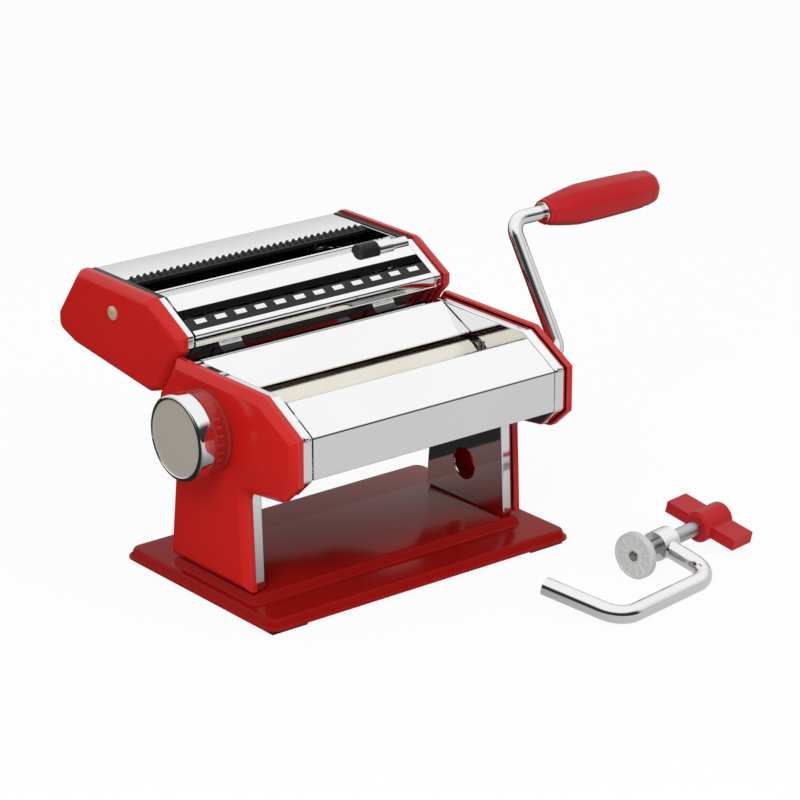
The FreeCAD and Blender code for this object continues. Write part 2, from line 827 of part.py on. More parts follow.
def buildCover(side, sign):
    body = newBody(f"{side}_cover", "plateauTop")
    rim = newSketch(body, at=f"{sign} * ringX")
    drawOutline(rim, coverOutline, outward="coverLip")
    face = newSketch(body, at=f"{sign} * faceX")
    drawOutline(face, coverOutline, outward="-coverBevel")
    shell(body, sign, rim, face)
    roundEdges(body, "coverCorner", lambda edge: spans(edge, "coverDepth"))
    innerRim = newSketch(body, at=f"{sign} * ringX")
    drawOutline(innerRim, coverOutline, outward="-0.2")
    innerFace = newSketch(body, at=f"{sign} * coverInnerX")
    drawOutline(innerFace, coverOutline, outward="-(coverBevel + coverWall - 1)")
    shell(body, sign, innerRim, innerFace, subtract=True)

    bosses = newSketch(body, at=f"{sign} * coverInnerX")
    for name in ("Front", "Rear"):
        drawCircle(bosses, f"boss{name}Y", f"boss{name}Height", "bossDiameter")
    extrude(body, bosses, "coverInnerX - frameOuter", backward=sign > 0)
    pilots = newSketch(body, at=f"{sign} * frameOuter")
    for name in ("Front", "Rear"):
        drawCircle(pilots, f"boss{name}Y", f"boss{name}Height", "coverScrewDiameter")
    cut(body, pilots, "coverScrewLength - sheetWall + 0.5", backward=sign > 0)

    openings = newSketch(body, at=f"{sign} * frameOuter")
    if side == "right":
        drawCircle(openings, "clampHoleY", "clampHoleHeight", "clampHoleDiameter")
        drawCircle(openings, "frontAxisY", "rollerHeight", "crankRod + 4")
    else:
        drawCircle(openings, "rearAxisY", "rollerHeight", "regulatorDiameter + 2 * shaftFit")
    cut(body, openings, "faceX - frameOuter + 1", backward=sign > 0)


def spans(edge, width):
    """An edge that crosses the whole width of a cover."""
    first, last = edge.Vertexes[0].Point, edge.Vertexes[-1].Point
    return abs(abs(first.x - last.x) - size(width)) < 0.01


def buildScrewsAndTies():
    coverScrews, frameScrews, ties, nuts = [], [], [], []
    for side, sign in sides.items():
        for name in ("Front", "Rear"):
            place = (f"boss{name}Y", f"plateauTop + boss{name}Height")
            headX = "-halfInside" if sign < 0 else "halfInside - coverScrewHeadHeight"
            shankX = "-halfInside - coverScrewLength" if sign < 0 else "halfInside"
            head = simpleRod(f"{side}Cover{name}Head", headX, *place, "coverScrewHead",
                             "coverScrewHeadHeight")
            shank = simpleRod(f"{side}Cover{name}Shank", shankX, *place, "coverScrewDiameter",
                              "coverScrewLength")
            coverScrews.append(joined(f"{side}Cover{name}Screw", [head, shank]))
        for spot, screwY in (("Front", "-frameScrewY"), ("Rear", "frameScrewY")):
            screwX = f"{sign} * (ringX - frameScrewInset)"
            head = simpleRod(f"{side}Foot{spot}Head", screwX, screwY, "plateauTop + sheetWall",
                             "frameScrewHead", "frameScrewHeadHeight", along="Z")
            shank = simpleRod(f"{side}Foot{spot}Shank", screwX, screwY, "plateauTop - baseWall",
                              "frameScrewDiameter", "baseWall + sheetWall", along="Z")
            frameScrews.append(joined(f"{side}Foot{spot}Screw", [head, shank]))
    for name in ("Front", "Rear", "Top"):
        place = (f"tie{name}Y", f"plateauTop + tie{name}Height")
        rod = simpleRod(f"tie{name}", "-frameOuter - tieNutHeight", *place, "tieDiameter",
                        "2 * (frameOuter + tieNutHeight)")
        ties.append(rod)
        for side, sign in sides.items():
            nutX = "-frameOuter - tieNutHeight" if sign < 0 else "frameOuter"
            blank = hexRod(f"{side}Nut{name}Blank", nutX, *place, "tieNutWidth", "tieNutHeight")
            bore = simpleRod(f"{side}Nut{name}Bore", nutX, *place, "tieDiameter", "tieNutHeight")
            nuts.append(without(f"{side}Nut{name}", blank, bore))
    group("cover_screws", coverScrews)
    group("frame_screws", frameScrews)
    group("tie_rods", ties)
    group("tie_rod_nuts", nuts)


# ---------------------------------------------------------------- panels of the roller head
def buildPanel(label, corners, toLeft=True, level="plateauTop"):
    """A bent sheet between the side frames; its section runs through the corners."""
    body = newBody(label, level)
    section = newSketch(body)
    drawSheet(section, corners, "panelWall", toLeft)
    extrude(body, section, "insideWidth", bothWays=True)
    return body


def buildHeadPanels():
    slope = "(headHeight - headFrontTop) / (headTopFrontY - headFrontY)"
    buildPanel("front_cover", [
        ("headFrontY + frontCoverReturn", "headFrontLow"),
        ("headFrontY + 0.3", "headFrontLow"),
        ("headFrontY + 0.3", "headFrontTop - 0.3"),
        ("frontCoverRearY", f"headFrontTop + {slope} * (frontCoverRearY - headFrontY) - 0.3"),
        ("frontCoverLipY", "headHeight - frontCoverLipDrop"),
    ], toLeft=False)
    buildPanel("hopper_plate", [
        ("hopperLowY", "hopperLow"), ("hopperTopY", "headHeight"), ("seatTopY - 1.5", "headHeight"),
    ], toLeft=False)
    buildPanel("rear_cover", [
        ("seatTopY - panelWall", "headHeight - panelWall - 0.5"),
        ("seatTopY + 0.34 * panelWall", "headHeight - panelWall - 0.5"),
        ("headRearY", "seatLow"), ("headRearY", "headRearLow"),
        ("headRearY - rearCoverReturn", "headRearLow - 3.8"),
    ], toLeft=False)


# ---------------------------------------------------------------- sheet rollers and gears
def toothCorners(pitchRadius, addendum, dedendum, teeth):
    """One gear tooth that points along the sketch's own X axis."""
    flank = [
        (f"{pitchRadius} - {dedendum} - 0.4", 1.32),
        (f"{pitchRadius} - 0.375 * {addendum}", 1.16),
        (f"{pitchRadius}", 1.0),
        (f"{pitchRadius} + 0.6 * {addendum}", 0.68),
        (f"{pitchRadius} + {addendum}", 0.40),
    ]
    low, high = [], []
    for radius, share in flank:
        angle = f"{share * 64.8:.3f} / {teeth}"
        low.append((f"({radius}) * cos({angle})", f"-({radius}) * sin({angle})"))
        high.append((f"({radius}) * cos({angle})", f"({radius}) * sin({angle})"))
    return low + high[::-1]


def buildGear(label, place, x, width, bore, teeth, spacing, addendum, dedendum, turn="0"):
    """A spur gear on an axis along X, with a tooth that points to the back at turn 0."""
    body = newBody(label)
    pose = f"placement(vector(0; {place[0]}; {place[1]}); rotation(0; 0; {turn}))"
    bind(body, "Placement", pose)
    rim = newSketch(body, at=x)
    drawCircle(rim, "0", "0", f"{spacing} - 2 * {dedendum}")
    drawCircle(rim, "0", "0", bore)
    extrude(body, rim, width)
    tooth = newSketch(body, at=x)
    drawOutline(tooth, toothCorners(f"({spacing} / 2)", addendum, dedendum, teeth))
    repeatAround(body, extrude(body, tooth, width), teeth)


def keyedSocket(body, endX, diameter):
    """A blind crank socket with a keyway, in the right end of a turned body."""
    socket = newSketch(body, at=endX)
    drawCircle(socket, "0", "0", diameter)
    cut(body, socket, "crankSocketDepth")
    keyway = newSketch(body, at=endX)
    drawBox(keyway, "-keyWidth / 2 - crankFit", "keyWidth / 2 + crankFit", "0",
            "crankRod / 2 + keyHeight + crankFit")
    cut(body, keyway, "crankSocketDepth")


def buildSheetRollers():
    rollerSize = "axisDistance - rollerGap"
    gearX = "frameOuter + gearStandoff"
    shaftEnd = f"{gearX} + gearWidth + 0.4"
    height = "plateauTop + rollerHeight"
    front = turnedBody("front_roller", [
        ("-frameOuter - 2", "-rollerLength / 2", "shaftLeftDiameter"),
        ("-rollerLength / 2", "rollerLength / 2", rollerSize),
        ("rollerLength / 2", shaftEnd, "shaftDiameter"),
    ], "frontAxisY", height, "-crankLean")
    keyedSocket(front, shaftEnd, "crankRod + 2 * crankFit")
    turnedBody("rear_roller", [
        ("-yokeInnerX + 0.2", "-rollerLength / 2", "shaftLeftDiameter"),
        ("-rollerLength / 2", "rollerLength / 2", rollerSize),
        ("rollerLength / 2", shaftEnd, "shaftDiameter"),
    ], "rearAxisY", height)
    for label, axisY in (("front_gear", "frontAxisY"), ("rear_gear", "rearAxisY")):
        buildGear(label, (axisY, height), gearX, "gearWidth", "shaftDiameter", "rollerTeeth",
                  "axisDistance", "rollerAddendum", "rollerDedendum")


def flangedBush(name, sign, place, bore, outside, flange, flangeWall, outerX):
    """A bush pressed into a side frame, with its flange on the inside."""
    collarX = "-halfInside" if sign < 0 else f"halfInside - {flangeWall}"
    sleeveX = f"-({outerX})" if sign < 0 else "halfInside"
    collar = simpleRod(f"{name}Collar", collarX, *place, flange, flangeWall)
    sleeve = simpleRod(f"{name}Sleeve", sleeveX, *place, outside, f"{outerX} - halfInside")
    boreX = f"-({outerX})" if sign < 0 else f"halfInside - {flangeWall}"
    hole = simpleRod(f"{name}Hole", boreX, *place, bore, f"{outerX} - halfInside + {flangeWall}")
    return without(name, joined(f"{name}Blank", [collar, sleeve]), hole)


def buildFrontBushes():
    place = ("frontAxisY", "plateauTop + rollerHeight")
    bushes = []
    for side, sign in sides.items():
        shaft = "shaftLeftDiameter" if sign < 0 else "shaftDiameter"
        bushes.append(flangedBush(f"{side}Bush", sign, place, f"{shaft} + 2 * shaftFit",
                                  "bushDiameter", "bushFlange", "bushFlangeWall", "frameOuter + 1"))
    group("front_bushes", bushes)


def buildScrapers():
    """Thin blades that peel the dough off the undersides of the two rollers."""
    reach = "(rollerRadius + scraperGap + scraperWall)"
    low = f"rollerHeight - {reach} * sin(55)"
    front = newBody("front_scraper", "plateauTop")
    section = newSketch(front)
    tabY = "tieFrontY + tieDiameter / 2"
    drawSheet(section, [
        (tabY, "tieFrontHeight + 4"), (tabY, "tieFrontHeight - 1"),
        (f"frontAxisY - {reach} * cos(55)", low),
    ], "scraperWall")
    extrude(front, section, "insideWidth", bothWays=True)
    rear = newBody("rear_scraper", "plateauTop")
    section = newSketch(rear)
    drawSheet(section, [
        ("carriageBarY", "rollerHeight + carriageBarTall / 2"),
        ("carriageBarY", "rollerHeight - carriageBarTall / 2 - 1"),
        (f"rearAxisY + {reach} * cos(55)", low),
    ], "scraperWall", toLeft=False)
    extrude(rear, section, "rollerLength - 2", bothWays=True)


# ---------------------------------------------------------------- carriage and thickness regulator
def buildCarriageSide(side, sign):
    """A block that slides in the frame slot and carries one end of the rear roller."""
    body = newBody(f"carriage_{side}", "plateauTop")
    plate = newSketch(body, at=f"{sign} * carriageInnerX")
    drawBox(plate, "rearAxisY - carriageWidth / 2", "rearAxisY + carriageWidth / 2",
            "rollerHeight - carriageTall / 2", "rollerHeight + carriageTall / 2")
    extrude(body, plate, "carriageWall", backward=sign < 0)
    neck = newSketch(body, at=f"{sign} * (halfInside - 0.5)")
    drawBox(neck, "rearAxisY - bushDiameter / 2", "rearAxisY + bushDiameter / 2",
            "rollerHeight - bushDiameter / 2", "rollerHeight + bushDiameter / 2")
    extrude(body, neck, "sheetWall + carriageGap + 0.5", backward=sign < 0)
    if side == "left":
        yoke = newSketch(body, at="-yokeInnerX")
        drawBox(yoke, "rearAxisY - carriageWidth / 2", "rearAxisY + carriageWidth / 2",
                "rollerHeight - carriageTall / 2", "rollerHeight + carriageTall / 2")
        extrude(body, yoke, "yokeWall", backward=True)
        window = newSketch(body, at="-yokeOuterX")
        drawBox(window, "rearAxisY - gapTravel / 2 - eccentricDiameter / 2 - eccentricFit",
                "rearAxisY - gapTravel / 2 + eccentricDiameter / 2 + eccentricFit",
                "rollerHeight - eccentricDiameter / 2 - gapTravel / 2 - eccentricFit",
                "rollerHeight + eccentricDiameter / 2 + gapTravel / 2 + eccentricFit")
        cut(body, window, "yokeWall", backward=True)
    bore = newSketch(body, at=f"{sign} * yokeInnerX")
    shaft = "shaftLeftDiameter" if sign < 0 else "shaftDiameter"
    drawCircle(bore, "rearAxisY", "rollerHeight", f"{shaft} + 2 * shaftFit")
    cut(body, bore, "yokeInnerX - halfInside + 0.5", backward=sign < 0)


def buildCarriageBracket():
    """A U-shaped bracket that joins the two blocks behind the rear roller."""
    plateX = "halfInside - endPlateGap - endPlateWall"
    plateY = "rearAxisY - bushDiameter / 2 - 1"
    lowZ = "plateauTop + rollerHeight"
    plateDepth = f"carriageBarY + endPlateWall - ({plateY})"
    pieces = [
        simpleBox("leftEndPlate", f"-({plateX}) - endPlateWall", plateY,
                  f"{lowZ} - endPlateTall / 2", "endPlateWall", plateDepth, "endPlateTall"),
        simpleBox("rightEndPlate", plateX, plateY,
                  f"{lowZ} - endPlateTall / 2", "endPlateWall", plateDepth, "endPlateTall"),
        simpleBox("carriageBar", f"-({plateX})", "carriageBarY",
                  f"{lowZ} - carriageBarTall / 2", f"2 * ({plateX})", "endPlateWall",
                  "carriageBarTall"),
    ]
    blank = joined("bracketBlank", pieces)
    bore = simpleRod("bracketBore", "-halfInside", "rearAxisY", lowZ,
                     "shaftDiameter + 1", "insideWidth")
    bracket = without("carriage_bracket", blank, bore)
    nodes.append(bracket)


def buildRegulator():
    body = turnedBody("regulator_shaft", [
        ("-faceX - collarDepth - 6", "-yokeOuterX - 0.4 - regulatorFlangeWall", "regulatorDiameter"),
        ("-yokeOuterX - 0.4 - regulatorFlangeWall", "-yokeOuterX - 0.4", "regulatorFlange"),
        ("-yokeOuterX - 0.4", "-yokeOuterX + 0.2", "regulatorDiameter"),
    ], "rearAxisY", "plateauTop + rollerHeight")
    eccentric = newSketch(body, at="-yokeOuterX + 0.2")
    drawCircle(eccentric, "-gapTravel / 2", "0", "eccentricDiameter")
    extrude(body, eccentric, "yokeWall - 0.6")

    collar = newBody("dial_collar", "plateauTop + rollerHeight")
    bind(collar, "Placement.Base.y", "rearAxisY")
    section = newSketch(collar, "XZ_Plane")
    boreRadius = "regulatorDiameter / 2 + shaftFit"
    drawOutline(section, [
        ("-faceX - collarFloor", boreRadius), ("-faceX", boreRadius),
        ("-faceX", "collarDiameter / 2"), ("-faceX - collarDepth", "collarDiameter / 2"),
        ("-faceX - collarDepth", "collarDiameter / 2 - collarWall"),
        ("-faceX - collarFloor", "collarDiameter / 2 - collarWall"),
    ])
    revolve(collar, section)

    knob = newBody("regulator_knob", "plateauTop + rollerHeight")
    bind(knob, "Placement.Base.y", "rearAxisY")
    section = newSketch(knob, "XZ_Plane")
    rimX = "-faceX - collarDepth - knobGap"
    drawOutline(section, [
        (f"{rimX} - knobDepth", "0"), (f"{rimX} - knobDepth + knobWall", "0"),
        (f"{rimX} - knobDepth + knobWall", "regulatorDiameter / 2 + shaftFit"),
        (f"{rimX} + knobHubDepth", "regulatorDiameter / 2 + shaftFit"),
        (f"{rimX} + knobHubDepth", "knobHub / 2"),
        (f"{rimX} - knobDepth + knobWall", "knobHub / 2"),
        (f"{rimX} - knobDepth + knobWall", "knobDiameter / 2 - knobWall"),
        (rimX, "knobDiameter / 2 - knobWall"), (rimX, "knobDiameter / 2"),
        (f"{rimX} - knobDepth + knobDome", "knobDiameter / 2"),
        (f"{rimX} - knobDepth", "knobDiameter / 2 - knobDome"),
    ])
    revolve(knob, section)


# ---------------------------------------------------------------- crank
def buildCrank():
    """A bent rod whose arm leans towards the back; its own Z runs along the arm."""
    lean = "placement(vector(0; frontAxisY; plateauTop + rollerHeight); rotation(0; 0; -crankLean))"
    socketX = "frameOuter + gearStandoff + gearWidth + 0.4 - crankSocketDepth + 0.5"
    arm = newBody("crank_arm")
    bind(arm, "Placement", lean)
    route = newSketch(arm, "XZ_Plane")
    drawRoute(route, [
        (socketX, "0"), ("armX", "0"), ("armX", "crankThrow"),
        ("armX + gripStart + gripLength - gripEndWall - 0.5", "crankThrow"),
    ], "crankBend")
    section = newSketch(arm, at=socketX)
    drawCircle(section, "0", "0", "crankRod")
    sweep(arm, section, route)
    key = newSketch(arm, at=socketX)
    drawBox(key, "-keyWidth / 2", "keyWidth / 2", "crankRod / 2 - 1", "crankRod / 2 + keyHeight")
    extrude(arm, key, "keyLength")

    grip = newBody("crank_grip")
    bind(grip, "Placement", lean)
    gripX = "armX + gripStart"
    stations = [
        (f"{gripX} + gripLength", "gripTailDiameter"),
        (f"{gripX} + gripLength - gripRound", "gripHeelDiameter"),
        (f"{gripX} + gripTaper", "gripDiameter"),
        (gripX, "gripNeckDiameter"),
    ]
    rings = []
    for x, width in stations:
        ring = newSketch(grip, at=x)
        corners = [(f"({width}) / 2 * cos({22.5 + 45 * turn})",
                    f"crankThrow + ({width}) / 2 * sin({22.5 + 45 * turn})") for turn in range(8)]
        drawOutline(ring, corners)
        rings.append(ring)
    loft(grip, rings[0], rings[1:])
    bore = newSketch(grip, at=gripX)
    drawCircle(bore, "0", "crankThrow", "crankRod + 2 * gripFit")
    cut(grip, bore, "gripLength - gripEndWall", backward=True)

    washer = newBody("grip_washer")
    bind(washer, "Placement", lean)
    ring = newSketch(washer, at=f"{gripX} - gripWasherWall")
    drawCircle(ring, "0", "crankThrow", "gripWasherDiameter")
    drawCircle(ring, "0", "crankThrow", "crankRod + 2 * gripFit")
    extrude(washer, ring, "gripWasherWall")


# ---------------------------------------------------------------- cutter head
cutterPairs = {
    "wide": ("wideAxisY", "widePitch", "wideRings"),
    "fine": ("fineAxisY", "finePitch", "fineRings"),
}


def buildCutterFrame(side, sign):
    body = newBody(f"cutter_{side}_frame", "plateauTop")
    outline = newSketch(body, at=f"{sign} * halfInside")
    drawOutline(outline, cutterOutline)
    extrude(body, outline, "cutterFlange", backward=sign < 0)
    roundEdges(body, "frameCorner", alongX)
    roundEdges(body, "bendRadius", crossing(sign * size("halfInside")))
    recess = newSketch(body, at=f"{sign} * frameOuter")
    drawOutline(recess, cutterOutline, outward="-sheetWall")
    cut(body, recess, "cutterFlange", backward=sign > 0)
    holes = newSketch(body, at=f"{sign} * halfInside")
    bush = "cutterBushLeft" if sign < 0 else "cutterBush"
    for axisY, _, _ in cutterPairs.values():
        drawCircle(holes, axisY, "cutterHeight", bush)
        drawCircle(holes, f"{axisY} + cutterSpacing", "cutterHeight", bush)
    for name in ("Middle", "Rear"):
        drawCircle(holes, f"cutterTie{name}Y", f"cutterTie{name}Height", "cutterTieDiameter")
    screw = side.capitalize()
    drawCircle(holes, f"capScrew{screw}Y", f"capScrew{screw}Height", "capScrewDiameter")
    cut(body, holes, "sheetWall", backward=sign > 0)


def buildCap(side, sign):
    body = newBody(f"cutter_{side}_cap", "plateauTop")
    rim = newSketch(body, at=f"{sign} * capRingX")
    drawOutline(rim, cutterOutline, outward="capLip")
    face = newSketch(body, at=f"{sign} * capFaceX")
    drawOutline(face, cutterOutline, outward="-capBevel")
    shell(body, sign, rim, face)
    behindNose = size("cutterSeatTopY")
    roundEdges(body, "capCorner", lambda edge: spans(edge, "capDepth")
               and edge.Vertexes[0].Point.y > behindNose)
    innerRim = newSketch(body, at=f"{sign} * capRingX")
    drawOutline(innerRim, cutterOutline, outward="-0.2")
    innerFace = newSketch(body, at=f"{sign} * capInnerX")
    drawOutline(innerFace, cutterOutline, outward="-(capBevel + coverWall - 1)")
    shell(body, sign, innerRim, innerFace, subtract=True)
    place = (f"capScrew{side.capitalize()}Y", f"capScrew{side.capitalize()}Height")
    boss = newSketch(body, at=f"{sign} * capInnerX")
    drawCircle(boss, *place, "bossDiameter")
    extrude(body, boss, "capInnerX - frameOuter", backward=sign > 0)
    openings = newSketch(body, at=f"{sign} * frameOuter")
    drawCircle(openings, *place, "capScrewDiameter")
    if side == "right":
        drawCircle(openings, "wideAxisY", "cutterHeight", "capCrankHole")
        drawCircle(openings, "fineAxisY", "cutterHeight", "capCrankHole")
    cut(body, openings, "capFaceX - frameOuter + 1", backward=sign > 0)


def buildCapScrews():
    screws = []
    for side, sign in sides.items():
        name = side.capitalize()
        place = (f"capScrew{name}Y", f"plateauTop + capScrew{name}Height")
        headX = "-capFaceX - capScrewHeadHeight" if sign < 0 else "capFaceX"
        shankX = "-capFaceX" if sign < 0 else "halfInside"
        head = simpleRod(f"cap{name}Head", headX, *place, "capScrewHead", "capScrewHeadHeight")
        shank = simpleRod(f"cap{name}Shank", shankX, *place, "capScrewDiameter",
                          "capFaceX - halfInside")
        slotY, slotZ = f"{place[0]} - capScrewHead / 2", f"{place[1]} - 0.5"
        slotX = headX if sign < 0 else "capFaceX + capScrewHeadHeight - 0.7"
        slot = simpleBox(f"cap{name}Slot", slotX, slotY, slotZ, "0.7", "capScrewHead", "1")
        screws.append(without(f"cap{name}Screw", joined(f"cap{name}Blank", [head, shank]), slot))
    group("cap_screws", screws)


def buildCutterPanels():
    chamfer = "(cutterTop - cutterNoseTop) / (cutterTopFrontY - cutterNoseY)"
    buildPanel("cutter_rear_plate", [
        ("fineMouthRearY", "cutterTop - mouthLip"), ("fineMouthRearY", "cutterTop"),
        ("cutterTopRearY", "cutterTop"), ("cutterRearY", "cutterRearTop"),
        ("cutterRearY", "cutterRearLow"), ("cutterHeelY", "cutterHeel"),
        ("cutterHeelY - heelReturn", "cutterHeel + 1.2"),
    ], toLeft=False)
    buildPanel("cutter_centre_plate", [
        ("fineMouthFrontY", "cutterTop - mouthLip"), ("fineMouthFrontY", "cutterTop"),
        ("cutterTopFrontY", "cutterTop"),
        ("wideMouthRearY", f"cutterNoseTop + {chamfer} * (wideMouthRearY - cutterNoseY)"),
        ("wideMouthRearY + 1.2", f"cutterNoseTop + {chamfer} * (wideMouthRearY - cutterNoseY) - mouthLip"),
    ])
    buildPanel("cutter_front_plate", [
        ("wideMouthFrontY + 1", "cutterNoseTop - 1.6"),
        ("wideMouthFrontY", f"cutterNoseTop + {chamfer} * (wideMouthFrontY - cutterNoseY)"),
        ("cutterNoseY", "cutterNoseTop"), ("cutterNoseY", "cutterNoseLow"),
        ("cutterSeatTopY", "cutterSeatTop"), ("cutterSeatLowY", "cutterSeatLow"),
        ("cutterSeatLowY + heelReturn", "cutterSeatLow - 1.7"),
    ])


def buildCutterRoller(label, axisY, pitch, rings, phase):
    """A shaft with evenly spaced cutting rings; phase moves them by a share of the pitch."""
    shaftEnd = "frameOuter + cutterGearStandoff + cutterGearWidth + 0.8"
    body = turnedBody(label, [
        ("-frameOuter + 0.3", "-cutterCutLength / 2", "cutterJournalLeft"),
        ("-cutterCutLength / 2", "cutterCutLength / 2", "cutterCore"),
        ("cutterCutLength / 2", shaftEnd, "cutterJournal"),
    ], axisY, "plateauTop + cutterHeight")
    start = f"-({rings} * {pitch}) / 2 + {phase} * {pitch} / 2"
    ring = newSketch(body, at=start)
    drawCircle(ring, "0", "0", "cutterRing")
    repeatAlong(body, extrude(body, ring, f"{pitch} / 2 - ringClearance"), rings, pitch)
    if axisY in ("wideAxisY", "fineAxisY"):
        keyedSocket(body, shaftEnd, "crankRod + 2 * crankFit")


def buildCutterRollers():
    gearX = "frameOuter + cutterGearStandoff"
    height = "plateauTop + cutterHeight"
    for name, (axisY, pitch, rings) in cutterPairs.items():
        for row, ownY, phase, turn in (
            ("front", axisY, 0, "0"),
            ("rear", f"{axisY} + cutterSpacing", 1, "180 / cutterTeeth"),
        ):
            buildCutterRoller(f"{name}_{row}_cutter", ownY, pitch, rings, phase)
            buildGear(f"{name}_{row}_gear", (ownY, height), gearX, "cutterGearWidth",
                      "cutterJournal", "cutterTeeth", "cutterSpacing", "cutterAddendum",
                      "cutterDedendum", turn)


def buildCutterBushes():
    bushes = []
    for name, (axisY, _, _) in cutterPairs.items():
        for row, ownY in (("Front", axisY), ("Rear", f"{axisY} + cutterSpacing")):
            for side, sign in sides.items():
                bore = "cutterJournalLeft" if sign < 0 else "cutterJournal"
                outside = "cutterBushLeft" if sign < 0 else "cutterBush"
                place = (ownY, "plateauTop + cutterHeight")
                bushes.append(flangedBush(f"{side}{row}{name}Bush", sign, place,
                                          f"{bore} + 2 * shaftFit", outside, "cutterBushFlange",
                                          "cutterBushFlangeWall", "frameOuter"))
    group("cutter_bushes", bushes)


def buildCombs(name, axisY, pitch, rings):
    """Two combs below a pair of cutters; their fingers stand in the grooves between the rings."""
    combs = []
    for row, ownY, phase in (
        ("Front", f"{axisY} - combOffset", 0),
        ("Rear", f"{axisY} + cutterSpacing + combOffset - combWall", 1),
    ):
        body = newBody(f"{name}{row}Comb", "plateauTop")
        nodes.remove(body)
        blade = newSketch(body, "XZ_Plane", f"-({ownY}) - combWall")
        drawOutline(blade, [
            ("-halfInside", "combLow"), ("halfInside", "combLow"), ("halfInside", "combRoot"),
            ("cutterCutLength / 2", "combRoot"), ("cutterCutLength / 2", "combTip"),
            ("-cutterCutLength / 2", "combTip"), ("-cutterCutLength / 2", "combRoot"),
            ("-halfInside", "combRoot"),
        ])
        extrude(body, blade, "combWall")
        slot = newSketch(body, "XZ_Plane", f"-({ownY}) + 1")
        start = f"-({rings} * {pitch}) / 2 + {phase} * {pitch} / 2 - combSlotGap"
        width = f"{pitch} / 2 - ringClearance + 2 * combSlotGap"
        drawBox(slot, start, f"{start} + {width}", "combRoot", "combTip + 1")
        repeatAlong(body, cut(body, slot, "combWall + 2"), rings, pitch)
        combs.append(body)
    group(f"{name}_combs", combs)


def buildCutterTies():
    ties = []
    for name in ("Middle", "Rear"):
        place = (f"cutterTie{name}Y", f"plateauTop + cutterTie{name}Height")
        pieces = [simpleRod(f"cutterTie{name}Rod", "-frameOuter", *place, "cutterTieDiameter",
                            "2 * frameOuter")]
        for side, sign in sides.items():
            headX = "-frameOuter - cutterTieHeadHeight" if sign < 0 else "frameOuter"
            pieces.append(simpleRod(f"{side}Tie{name}Head", headX, *place, "cutterTieHead",
                                    "cutterTieHeadHeight"))
        ties.append(joined(f"cutterTie{name}", pieces))
    group("cutter_tie_rods", ties)


# ---------------------------------------------------------------- rails between the two heads
# Both are drawn in a frame that leans with the seat: Z runs up the seat and Y points off it.
def buildRailsAndHooks():
    seat = "placement(vector(0; headRearY; plateauTop + seatLow); rotation(0; 0; seatLean))"
    gap = ("((cutterSeatLowY - headRearY) * cos(seatLean)"
           " + (cutterSeatLow - seatLow) * sin(seatLean))")
    rails, hooks = [], []
    for side, sign in sides.items():
        def bar(name, width, y, z, depth, height):
            return simpleBox(f"{side}{name}", f"{sign} * railX - ({width}) / 2", y, z, width,
                             depth, height)

        rails.append(joined(f"{side}Rail", [
            bar("RailStem", "railStem", "0", "0", "railStemHeight", "railLength"),
            bar("RailHead", "railHead", "railStemHeight", "0", "railHeadHeight", "railLength"),
            bar("RailStop", "hookWidth", "0", "0", f"{gap} - railFit", "hookStop"),
        ]))
        reach = "railStemHeight + railHeadHeight + railFit"
        blank = bar("HookBlank", "hookWidth", "railFit", "hookStop", f"{gap} - railFit", "hookLength")
        channel = bar("HookChannel", "railHead + 2 * railFit", "railFit + hookLip", "hookStop",
                      f"{reach} - railFit - hookLip", "hookLength")
        throat = bar("HookThroat", "railStem + 2 * railFit", "0", "hookStop", "railStemHeight",
                     "hookLength")
        hooks.append(without(f"{side}Hook", blank, joined(f"{side}HookHollow", [channel, throat])))
    for label, pieces in (("guide_rails", rails), ("cutter_hooks", hooks)):
        bind(group(label, pieces), "Placement", seat)


